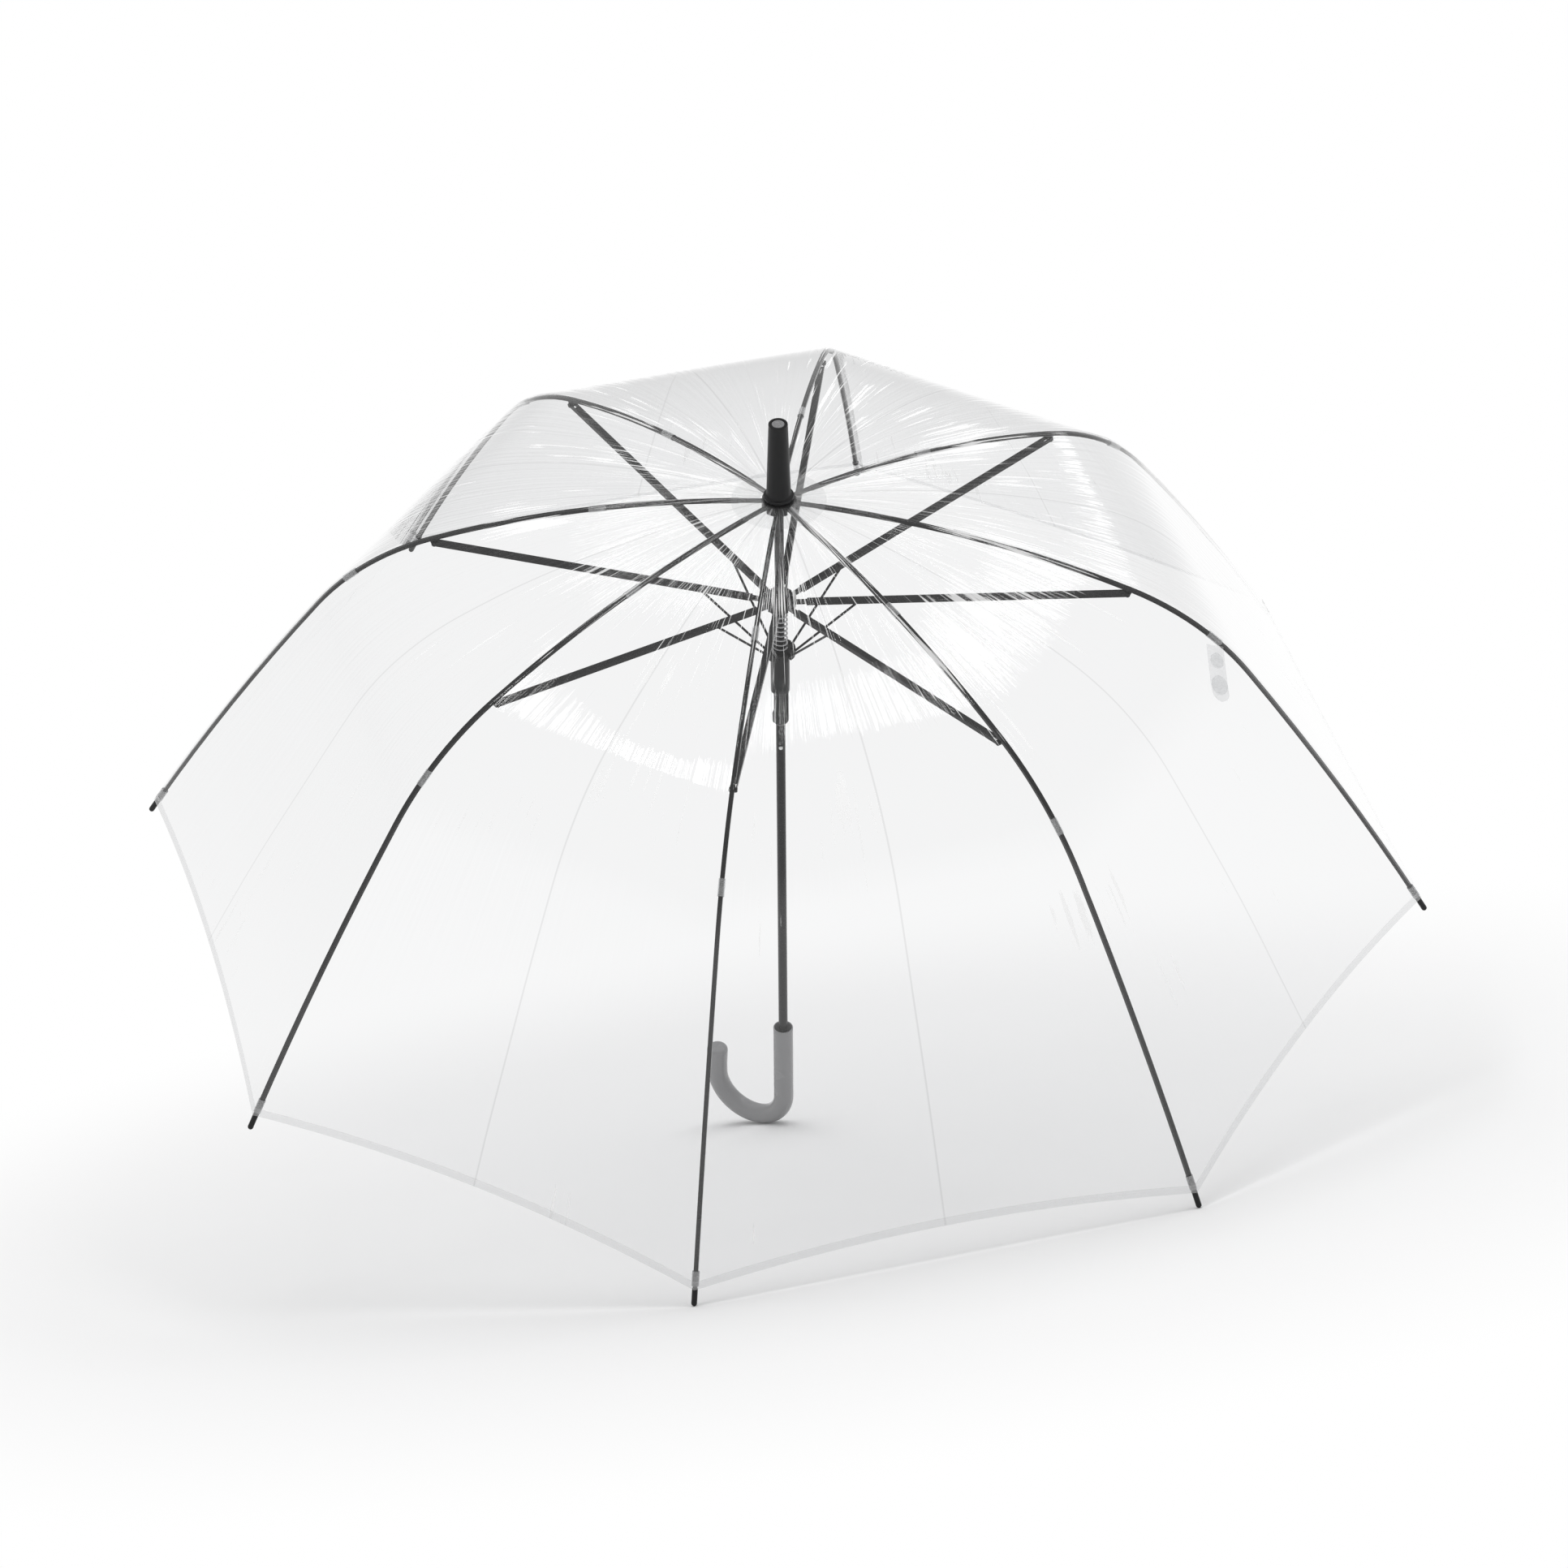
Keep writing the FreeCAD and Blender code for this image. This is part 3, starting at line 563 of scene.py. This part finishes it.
def sleeve_tree():
    """A short round sleeve with a rounded wall at every point, turned along the point's own direction."""
    sizes = {"Radius": 2.6 * MM, "Wall": 0.45 * MM, "Length": 13 * MM}
    tree, given = new_tree("sleeves", sizes)
    half_wall = tree_node(tree, "ShaderNodeMath", {0: given["Wall"], 1: 0.5}, operation="MULTIPLY")
    middle = tree_node(tree, "ShaderNodeMath", {0: given["Radius"], 1: half_wall}, operation="SUBTRACT")
    path = tree_node(tree, "GeometryNodeCurvePrimitiveCircle", {"Resolution": 32, "Radius": middle})
    section = tree_node(tree, "GeometryNodeCurvePrimitiveQuadrilateral", {
        "Width": given["Wall"], "Height": given["Length"]})
    round_section = tree_node(tree, "GeometryNodeFilletCurve", {"Curve": section, "Radius": half_wall})
    sleeve = tree_node(tree, "GeometryNodeCurveToMesh", {"Curve": path, "Profile Curve": round_section})
    heading = tree_node(
        tree, "GeometryNodeInputNamedAttribute", {"Name": "heading"}, data_type="FLOAT_VECTOR")
    turn = tree_node(tree, "FunctionNodeAlignRotationToVector", {"Vector": heading}, axis="Z")
    copies = tree_node(tree, "GeometryNodeInstanceOnPoints", {
        "Points": given["Geometry"], "Instance": sleeve, "Rotation": turn})
    return close_tree(tree, copies, given["Material"])


def grown(name, tree, values, material, base):
    """The plain mesh that a tree makes from a base mesh."""
    carrier = bpy.data.objects.new(name + "_base", base)
    bpy.context.scene.collection.objects.link(carrier)
    shape = carrier.modifiers.new("Shape", "NODES")
    shape.node_group = tree
    values = dict(values, Material=material)
    for item in tree.interface.items_tree:
        if item.in_out == "INPUT" and item.name in values:
            shape[item.identifier] = values[item.name]
    evaluated = carrier.evaluated_get(bpy.context.evaluated_depsgraph_get())
    mesh = bpy.data.meshes.new_from_object(evaluated)
    bpy.data.objects.remove(carrier)
    mesh.name = name
    return mesh


def points_on_rib(name, lengths):
    """A mesh of loose points on the drawn rib's centre line, each with its heading along the rib."""
    frames = [RIB.frame_at(length) for length in lengths]
    mesh = bpy.data.meshes.new(name)
    mesh.from_pydata([matrix.translation for matrix in frames], [], [])
    headings = mesh.attributes.new("heading", "FLOAT_VECTOR", "POINT")
    for item, matrix in zip(headings.data, frames):
        item.vector = matrix.col[0].xyz
    return mesh


def fade(value, low, high):
    """0 at low and 1 at high, smooth between."""
    share = min(max((value - low) / (high - low), 0), 1)
    return share * share * (3 - 2 * share)


def film_lift(sizes, length, azimuth, share):
    """How far the film stands off its stretched surface: pleats by the hub and waves, none over a rib."""
    pleat_reach = 75 * MM
    pleat_gain = 2.2
    off_rib = fade(abs(share), 0, 0.35)
    near_hub = math.exp(-length / pleat_reach) * fade(length, 8 * MM, 40 * MM)
    mid_film = fade(length, 30 * MM, 160 * MM) * fade(RIB.length - length, 15 * MM, 90 * MM)
    pleats = noise.noise(Vector((azimuth * 15, length * 4, 3.1)))
    waves = noise.noise(Vector((azimuth * 1.6, length * 9, 8.7)))
    return off_rib * (pleat_gain * sizes.pleat * near_hub * pleats + sizes.slack * mid_film * waves)


def film_point(sizes, number, length, share, extra=0.0):
    """Upright point of a panel, at a length along the rib and a share from -1 to 1 across the panel."""
    (radius, height), heading = RIB.at(length, sizes.film_offset)
    reach = share * radius * math.sin(HALF_GORE)
    point = Vector((radius - abs(reach) * math.sin(HALF_GORE), reach * math.cos(HALF_GORE), height))
    azimuth = (number - DRAWN_RIB) * GORE + math.atan2(point.y, point.x)
    side = 1 if share >= 0 else -1
    normal = Vector((math.sin(heading), side * math.sin(heading) * math.tan(HALF_GORE), math.cos(heading)))
    lift = film_lift(sizes, length, wrapped(azimuth), share) + extra
    return point + normal.normalized() * lift


def wrapped(azimuth):
    """An azimuth folded about a full turn, so that the waves meet at its ends."""
    return abs((azimuth + math.pi) % (2 * math.pi) - math.pi)


def film_mesh(sizes, number, name, first, last, extra, rows, columns):
    """A stretched sheet between two edges of a panel, with its fan map and distances from weld and fold."""
    points = []
    rims = []
    fans = []
    folds = []
    for row in range(rows + 1):
        for column in range(columns + 1):
            share = 2 * column / columns - 1
            start = first(share)
            length = start + (last(share) - start) * row / rows
            point = film_point(sizes, number, length, share, extra)
            points.append(point)
            rims.append((1 - abs(share)) * point.xy.length * math.sin(HALF_GORE))
            fans.append((number + share / 2, length))
            folds.append(length - start)
    wide = columns + 1
    faces = []
    for row in range(rows):
        for column in range(columns):
            corner = row * wide + column
            faces.append((corner, corner + wide, corner + wide + 1, corner + 1))
    mesh = bpy.data.meshes.new(name)
    mesh.from_pydata(points, [], faces)
    for label, values in (("rim", rims), ("fold", folds)):
        mesh.attributes.new(label, "FLOAT", "POINT").data.foreach_set("value", values)
    layer = mesh.uv_layers.new(name="fan")
    for loop in mesh.loops:
        layer.data[loop.index].uv = fans[loop.vertex_index]
    return mesh


def film_area(sizes):
    """Flat area of one panel, from its width at each length along the rib."""
    count = 400
    start = sizes.film_start
    end = RIB.length - sizes.film_end - sizes.hem_rise * 2 / 3
    step_length = (end - start) / count
    radii = [RIB.at(start + step_length * (index + 0.5), sizes.film_offset)[0][0] for index in range(count)]
    return sum(radii) * 2 * math.sin(HALF_GORE) * step_length


def fold_with_rib(made):
    """Gives the film piece its own copy of its mesh."""
    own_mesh(made)


def build_film(sizes):
    """Eight film panels, each centred on its rib, with a folded hem."""
    hem_end = RIB.length - sizes.film_end
    widest = 2 * RIB.at(hem_end, sizes.film_offset)[0][0] * math.sin(HALF_GORE)
    area = film_area(sizes)
    hem_lift = 0.25 * MM
    hem_rows = 4

    def hub(share):
        return sizes.film_start

    def edge(share):
        return hem_end - sizes.hem_rise * abs(share) * (2 - abs(share))

    def fold(share):
        return edge(share) - sizes.hem_width

    for number in RIB_NUMBERS:
        turn = about_shaft(number)
        body = "rib_body_%d" % number
        name = "film_%d" % number
        sheet = film_mesh(sizes, number, name, hub, edge, 0.0, sizes.film_rows, sizes.film_columns)
        film = as_piece(name, sheet, finish_of("polished_film"), turn)
        name = "hem_%d" % number
        band = film_mesh(sizes, number, name, fold, edge, hem_lift, hem_rows, sizes.film_columns)
        hem = as_piece(name, band, finish_of("folded_film"), turn)
        for made in (film, hem):
            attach(made, body)
            fold_with_rib(made)
        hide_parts("canopy_panel_%d" % number)


def build_film_holders(sizes):
    """Two clear ties on each rib, and a grey collar above each tip cap."""
    ties = sleeve_tree()
    tie_sizes = {"Radius": sizes.tie_radius, "Wall": sizes.tie_wall, "Length": sizes.tie_length}
    collar_sizes = {"Radius": 2.75 * MM, "Wall": 0.5 * MM, "Length": 11 * MM}
    collar_from_tip = 20 * MM
    tie_places = (sizes.inner_tie, RIB.joint_at + sizes.outer_tie)
    collar_places = (RIB.length - collar_from_tip,)
    for number in RIB_NUMBERS:
        turn = about_shaft(number)
        name = "film_ties_%d" % number
        base = points_on_rib(name, tie_places)
        mesh = grown(name, ties, tie_sizes, finish_of("clear_fitting"), base)
        tie = as_piece(name, mesh, finish_of("clear_fitting"), turn)
        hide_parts("canopy_ties_%d" % number)
        name = "tip_collar_%d" % number
        base = points_on_rib(name, collar_places)
        mesh = grown(name, ties, collar_sizes, finish_of("grey_collar"), base)
        collar = as_piece(name, mesh, finish_of("grey_collar"), turn)
        for made in (tie, collar):
            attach(made, "rib_body_%d" % number)


def crook_path(sizes):
    """The crook's centre line as a function from length to a matrix with Z along it, and its whole length."""
    turn = Matrix.Rotation(math.radians(157.5), 4, "Z")
    downwards = Matrix.Rotation(math.pi, 4, "Y")
    bend_start = sizes.grip_top - sizes.grip_length
    bend_length = math.pi * sizes.hook_radius

    def at(length):
        if length <= sizes.grip_length:
            return turn @ Matrix.Translation((0, 0, sizes.grip_top - length)) @ downwards
        angle = min((length - sizes.grip_length) / sizes.hook_radius, math.pi)
        centre = Matrix.Translation((sizes.hook_radius, 0, bend_start))
        on_bend = centre @ Matrix.Rotation(-angle, 4, "Y") @ Matrix.Translation((-sizes.hook_radius, 0, 0))
        past = max(length - sizes.grip_length - bend_length, 0)
        return turn @ on_bend @ downwards @ Matrix.Translation((0, 0, past))

    return at, sizes.grip_length + bend_length + sizes.hook_rise


def build_handle(sizes):
    """The grey crook: a hollow mouth round the shaft, a straight grip, a half turn and a swollen flat end."""
    at, total = crook_path(sizes)
    grip = sizes.grip_radius
    mouth = grip - 1.1 * MM
    bore = SHAFT_RADIUS + 0.05 * MM
    depth = 29 * MM
    lip = 0.6 * MM
    swelling = 18 * MM
    bulb = grip + 0.5 * MM
    soft = 3.2 * MM
    dimple = 2.4 * MM
    dimple_depth = 0.25 * MM
    body_steps = 72
    end_steps = 8
    body_end = total - swelling
    stations = [(depth, bore), (depth, mouth), (0.5 * MM, mouth), (0.0, mouth + 0.3 * MM),
                (0.0, grip - 0.5 * MM), (0.2 * MM, grip - 0.15 * MM), (lip, grip)]
    for index in range(1, body_steps + 1):
        stations.append((lip + (body_end - lip) * index / body_steps, grip))
    for index in range(1, end_steps + 1):
        share = index / end_steps
        stations.append((body_end + (swelling - soft) * share, grip + (bulb - grip) * fade(share, 0, 1)))
    for index in range(1, end_steps + 1):
        angle = math.pi / 2 * index / end_steps
        stations.append((total - soft + soft * math.sin(angle), bulb - soft + soft * math.cos(angle)))
    stations += [(total, dimple), (total - dimple_depth, dimple - 0.5 * MM), (total - dimple_depth, 0.0)]
    rings = [ring(at(length), radius, 48) for length, radius in stations]
    handle = as_piece("crook_handle", mesh_of_rings("crook_handle", rings), finish_of("grey_gloss"))
    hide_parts("handle")
    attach(handle, "frame")


def build_spring(sizes):
    """The opening spring between the runner's flange and the crown, carried on the runner."""
    flange_face = 2.8 * MM
    crown_face = 4 * MM
    low = FLANGE_HEIGHT + flange_face + sizes.spring_wire
    high = CROWN_HEIGHT - crown_face - sizes.spring_wire
    values = {"Coil Radius": sizes.spring_radius, "Wire Radius": sizes.spring_wire,
              "Height": high - low, "Turns": sizes.spring_turns}
    steel = finish_of("drawn_steel")
    mesh = grown("opening_coil", coil_tree(), values, steel, bpy.data.meshes.new("coil_base"))
    coil = as_piece("opening_coil", mesh, steel, Matrix.Translation((0, 0, low)))
    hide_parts("opening_spring")
    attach(coil, "runner_sleeve")
    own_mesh(coil)


def build_ferrule():
    """The black spike with its flange and the pin in its end, each with rounded edges."""
    bore = SHAFT_RADIUS + PRESS_FIT
    flange = 11.2 * MM
    flange_thick = 3 * MM
    root = 10.6 * MM
    tip = 7.1 * MM
    socket = 5.05 * MM
    low = 4.22 * MM
    top = 71 * MM
    edge = 0.7 * MM
    fillet = 1.6 * MM
    outline = [(bore, low + MM), (bore, low), (flange - edge, low)]
    outline += rounded((flange - edge, low + edge), edge, -math.pi / 2, math.pi / 2)
    outline += rounded((flange - edge, low + flange_thick - edge), edge, 0, math.pi / 2)
    outline += rounded((root, low + flange_thick + fillet), fillet, -math.pi / 2, -math.pi / 2)
    outline += rounded((tip - edge, top - edge), edge, 0, math.pi / 2)
    outline += [(socket + 0.25 * MM, top), (socket, top - 0.3 * MM), (socket, top - 1.2 * MM)]
    ferrule = as_piece("ferrule_cover", lathe("ferrule_cover", outline), finish_of("black_nylon"))
    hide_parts("ferrule")
    pin_radius = 4.98 * MM
    face = top - 0.4 * MM
    dimple = 2.1 * MM
    dimple_face = face - 0.25 * MM
    pin_outline = [(pin_radius, face - 3 * MM), (pin_radius, face - 0.4 * MM), (4.6 * MM, face),
                   (dimple, face), (dimple - 0.2 * MM, dimple_face), (0.0, dimple_face)]
    pin = as_piece("ferrule_end_pin", lathe("ferrule_end_pin", pin_outline), finish_of("drawn_steel"))
    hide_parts("ferrule_pin")
    for made in (ferrule, pin):
        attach(made, "frame")


def build_rosette(sizes):
    """The clear patch that reinforces the film under the ferrule, with a welded rim."""
    sides = 96
    steps = 16
    hole = 4 * MM
    lift = sizes.film_offset + 0.55 * MM
    rings = []
    for index in range(steps + 1):
        radius = hole + (sizes.rosette_radius - hole) * index / steps
        points = []
        for side in range(sides):
            turn = 2 * math.pi * side / sides
            bend = (turn + HALF_GORE) % GORE - HALF_GORE
            reach = max(radius * math.cos(bend) - HINGE_RADIUS, 0)
            (_, height), _ = RIB.at(reach, lift)
            pleat = 0.12 * MM * math.sin(24 * turn) * fade(radius, 14 * MM, sizes.rosette_radius)
            points.append(Vector((radius * math.cos(turn), radius * math.sin(turn), height + pleat)))
        rings.append(points)
    patch = as_piece("hub_patch", mesh_of_rings("hub_patch", rings), finish_of("clear_patch"))
    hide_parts("canopy_rosette")
    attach(patch, "frame")


def strap_place(sizes):
    """Where the closing strap lies beside the drawn rib: X along the strap and Z away from the film."""
    on_rib = RIB.frame_at(RIB.joint_at + sizes.outer_tie)
    with_film = Matrix.Rotation(math.radians(18), 4, "X")
    beside = Matrix.Translation((0, -9 * MM, sizes.film_offset + 1.5 * MM))
    hang = Matrix.Rotation(math.radians(-60), 4, "Z")
    return on_rib @ with_film @ beside @ hang


def strap_mesh(length, width, thick):
    """A round-ended strap that curls a little towards its free end, with a rounded rim."""
    steps = 28
    across = 10
    skins = []
    for lift in (0.0, thick):
        for index in range(steps + 1):
            x = length * index / steps
            left = max(x - (length - width / 2), 0)
            half = math.sqrt(max((width / 2) ** 2 - left ** 2, 0)) if left else width / 2
            half = max(half, 0.5 * MM)
            for column in range(across + 1):
                share = 2 * column / across - 1
                curl = 1.2 * MM * fade(x, length * 0.6, length) + 0.25 * MM * share * share
                rim = 0.12 * MM * fade(abs(share), 0.8, 1) * (1 if lift == 0 else -1)
                skins.append(Vector((x, share * half, lift + curl + rim)))
    wide = across + 1
    layer = wide * (steps + 1)
    faces = []
    for index in range(steps):
        for column in range(across):
            corner = index * wide + column
            under = (corner, corner + 1, corner + wide + 1, corner + wide)
            faces.append(under)
            faces.append(tuple(layer + item for item in reversed(under)))
    border = list(range(wide))
    border += [index * wide + across for index in range(1, steps + 1)]
    border += [steps * wide + column for column in range(across - 1, -1, -1)]
    border += [index * wide for index in range(steps - 1, 0, -1)]
    for first, second in zip(border, border[1:] + border[:1]):
        faces.append((second, first, layer + first, layer + second))
    mesh = bpy.data.meshes.new("strap")
    mesh.from_pydata(skins, [], faces)
    return mesh


def snap_mesh(radius, x):
    """A round snap pad with a raised rim and a small boss."""
    soft = 0.3 * MM
    rim = MM
    floor = 0.65 * MM
    boss = 1.9 * MM
    boss_top = 1.2 * MM
    above_strap = 0.75 * MM
    outline = [(0.0, 0.0), (radius, 0.0), (radius, rim - soft), (radius - soft, rim), (radius - rim, rim),
               (radius - rim - soft, floor), (boss + soft, floor), (boss, boss_top), (0.0, boss_top)]
    mesh = lathe("snap", outline, 48)
    mesh.transform(Matrix.Translation((x, 0, above_strap)))
    return mesh


def build_strap(sizes):
    """The clear closing strap and its two round snap pads."""
    place = strap_place(sizes)
    length = 44 * MM
    width = 16 * MM
    mesh = strap_mesh(length, width, 0.6 * MM)
    mesh.transform(place)
    strap = as_piece("closing_strap", mesh, finish_of("clear_strap"), about_shaft(DRAWN_RIB))
    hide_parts("closure_strap")
    pads = []
    for label, radius, x in (("upper", 6 * MM, 12 * MM), ("lower", 7.5 * MM, 31 * MM)):
        mesh = snap_mesh(radius, x)
        mesh.transform(place)
        pads.append(as_piece("snap_pad_" + label, mesh, finish_of("clear_snap"), about_shaft(DRAWN_RIB)))
    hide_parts("strap_snaps")
    for made in (strap, *pads):
        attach(made, "rib_body_%d" % DRAWN_RIB)


def build_glint_dome():
    """Painted highlight: a small white dome in the front of the shaft that stands for a glint there."""
    radius = 1.5 * MM
    soft = 0.6 * MM
    shoulder = 3.6 * MM
    outline = [(radius, 2.9 * MM), (radius, shoulder)]
    outline += rounded((radius - soft, shoulder), soft, 0, math.pi / 2)
    outline += [(0.0, 4.25 * MM)]
    mesh = lathe("shaft_glint_dome", outline, 32)
    facing = Matrix.Rotation(math.radians(-82), 4, "Z")
    place = Matrix.Translation((0, 0, GLINT_DOME_HEIGHT)) @ facing @ Matrix.Rotation(math.pi / 2, 4, "Y")
    button = as_piece("shaft_glint_dome", mesh, finish_of("painted_glint_white"), place)
    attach(button, "frame")


def paint_frame():
    """Gives the carried-over frame parts their finishes."""
    finishes = {
        "shaft": "steel_paint", "rib": "steel_paint", "stretcher": "steel_paint",
        "wire_strut": "steel_paint", "notch_wire": "drawn_steel", "top_notch": "black_nylon",
        "runner": "black_nylon", "runner_crown": "black_nylon", "tip_cap": "black_nylon",
    }
    for name, node in frame["nodes"].items():
        kind = name.rstrip("0123456789").rstrip("_")
        if kind in finishes:
            for slot in node.material_slots:
                slot.material = finish_of(finishes[kind])


def add_light(name, place, aim, size, radiance, shows_in_gloss=True):
    """A soft rectangular light of a given brightness that faces its aim."""
    light = bpy.data.lights.new(name, "AREA")
    light.shape = "RECTANGLE"
    light.size, light.size_y = size
    light.energy = radiance * math.pi * size[0] * size[1]
    lamp = bpy.data.objects.new(name, light)
    bpy.context.scene.collection.objects.link(lamp)
    lamp.visible_glossy = shows_in_gloss
    lamp.location = place
    lamp.rotation_euler = (Vector(aim) - Vector(place)).to_track_quat("-Z", "Y").to_euler()


def build_world():
    """A white studio: white walls near the floor and a greyer ceiling between the lights."""
    world = bpy.data.worlds.new("studio")
    bpy.context.scene.world = world
    world.use_nodes = True
    tree = world.node_tree
    tree.nodes.clear()
    place = tree.nodes.new("ShaderNodeTexCoord").outputs["Generated"]
    split = tree_node(tree, "ShaderNodeSeparateXYZ", {"Vector": place})
    high = split.node.outputs["Z"]
    level = tree_node(tree, "ShaderNodeMapRange", {
        "Value": high, "From Min": 0.06, "From Max": 0.36, "To Min": 1.0, "To Max": 0.5})
    ground = tree_node(tree, "ShaderNodeBackground", {"Color": (1, 1, 1, 1), "Strength": level})
    tree.links.new(ground, tree.nodes.new("ShaderNodeOutputWorld").inputs["Surface"])


def build_stage(looks):
    """White floor, studio, lights and camera."""
    scene = bpy.context.scene
    scene.view_settings.view_transform = "Standard"
    half = looks.floor_size
    mesh = bpy.data.meshes.new("floor")
    corners = [(-half, -half, 0), (half, -half, 0), (half, half, 0), (-half, half, 0)]
    mesh.from_pydata(corners, [], [(0, 1, 2, 3)])
    mesh.materials.append(white_floor(looks.floor_fade))
    floor = bpy.data.objects.new("floor", mesh)
    scene.collection.objects.link(floor)
    build_world()
    add_light("ceiling_fill", (0.2, 0, 3.2), (0.1, 0, 0), (3.0, 3.0), 1.95, shows_in_gloss=False)
    add_light("left_box", (-0.95, -0.92, 2.70), (-0.17, -0.28, 0.4), (0.42, 0.28), 5.5)
    add_light("middle_box", (0.48, -1.22, 2.67), (0, -0.32, 0.4), (0.30, 0.36), 5.5)
    add_light("right_box", (1.50, -0.30, 2.48), (0.1, -0.27, 0.42), (0.36, 0.42), 5.5)
    add_light("hub_box", (-0.36, 0.42, 2.92), (0, 0, 0.5), (0.50, 0.30), 4.5)
    add_light("far_right_box", (1.83, 1.23, 1.89), (0.24, -0.11, 0.5), (0.3, 0.2), 3.0)
    camera = bpy.data.objects.new("camera", bpy.data.cameras.new("camera"))
    scene.collection.objects.link(camera)
    place = Vector(looks.camera_place)
    sight = Vector(looks.camera_aim) - place
    level = sight.to_track_quat("-Z", "Y").to_matrix().to_4x4()
    roll = Matrix.Rotation(looks.camera_roll, 4, "Z")
    camera.matrix_world = Matrix.Translation(place) @ level @ roll
    camera.data.lens = looks.lens
    camera.data.clip_end = 200
    scene.camera = camera


class OBJECT_OT_umbrella_stage(bpy.types.Operator):
    """Make the finishes, the white floor, the lights and the camera"""

    bl_idname = "object.umbrella_stage"
    bl_label = "Stage"

    def execute(self, context):
        make_materials(context.scene.umbrella_looks)
        build_stage(context.scene.umbrella_looks)
        return {"FINISHED"}


class OBJECT_OT_umbrella_frame(bpy.types.Operator):
    """Paint the carried-over frame and set the small white dome of painted highlight in the shaft"""

    bl_idname = "object.umbrella_frame"
    bl_label = "Frame finishes"

    def execute(self, context):
        paint_frame()
        build_glint_dome()
        return {"FINISHED"}


class OBJECT_OT_umbrella_film(bpy.types.Operator):
    """Stretch the eight film panels and their hems over the ribs"""

    bl_idname = "object.umbrella_film"
    bl_label = "Film"

    def execute(self, context):
        build_film(context.scene.umbrella_sizes)
        return {"FINISHED"}


class OBJECT_OT_umbrella_film_holders(bpy.types.Operator):
    """Put the clear ties and the tip collars on the ribs"""

    bl_idname = "object.umbrella_film_holders"
    bl_label = "Ties and collars"

    def execute(self, context):
        build_film_holders(context.scene.umbrella_sizes)
        return {"FINISHED"}


class OBJECT_OT_umbrella_strap(bpy.types.Operator):
    """Lay the closing strap and its snap pads on the film"""

    bl_idname = "object.umbrella_strap"
    bl_label = "Closing strap"

    def execute(self, context):
        build_strap(context.scene.umbrella_sizes)
        return {"FINISHED"}


class OBJECT_OT_umbrella_hub(bpy.types.Operator):
    """Turn the ferrule and its pin and lay the clear patch round the hub"""

    bl_idname = "object.umbrella_hub"
    bl_label = "Ferrule and hub patch"

    def execute(self, context):
        build_ferrule()
        build_rosette(context.scene.umbrella_sizes)
        return {"FINISHED"}


class OBJECT_OT_umbrella_spring(bpy.types.Operator):
    """Wind the opening spring between the runner and the crown"""

    bl_idname = "object.umbrella_spring"
    bl_label = "Opening spring"

    def execute(self, context):
        build_spring(context.scene.umbrella_sizes)
        return {"FINISHED"}


class OBJECT_OT_umbrella_handle(bpy.types.Operator):
    """Sweep the crook handle"""

    bl_idname = "object.umbrella_handle"
    bl_label = "Crook handle"

    def execute(self, context):
        build_handle(context.scene.umbrella_sizes)
        return {"FINISHED"}


OPERATORS = (
    OBJECT_OT_umbrella_stage, OBJECT_OT_umbrella_frame, OBJECT_OT_umbrella_film,
    OBJECT_OT_umbrella_film_holders, OBJECT_OT_umbrella_strap, OBJECT_OT_umbrella_hub,
    OBJECT_OT_umbrella_spring, OBJECT_OT_umbrella_handle,
)


class VIEW3D_PT_umbrella(bpy.types.Panel):
    """Lists the umbrella's steps in the order in which they are run"""

    bl_label = "Umbrella"
    bl_idname = "VIEW3D_PT_umbrella"
    bl_space_type = "VIEW_3D"
    bl_region_type = "UI"
    bl_category = "Umbrella"

    def draw(self, context):
        for operator in OPERATORS:
            self.layout.operator(operator.bl_idname)


CLASSES = (UmbrellaSizes, UmbrellaLooks, *OPERATORS, VIEW3D_PT_umbrella)


def register():
    for item in CLASSES:
        bpy.utils.register_class(item)
    bpy.types.Scene.umbrella_sizes = PointerProperty(type=UmbrellaSizes)
    bpy.types.Scene.umbrella_looks = PointerProperty(type=UmbrellaLooks)


def unregister():
    del bpy.types.Scene.umbrella_looks
    del bpy.types.Scene.umbrella_sizes
    for item in reversed(CLASSES):
        bpy.utils.unregister_class(item)


def main():
    register()
    for operator in OPERATORS:
        area, name = operator.bl_idname.split(".")
        getattr(getattr(bpy.ops, area), name)()


if __name__ == "__main__":
    main()
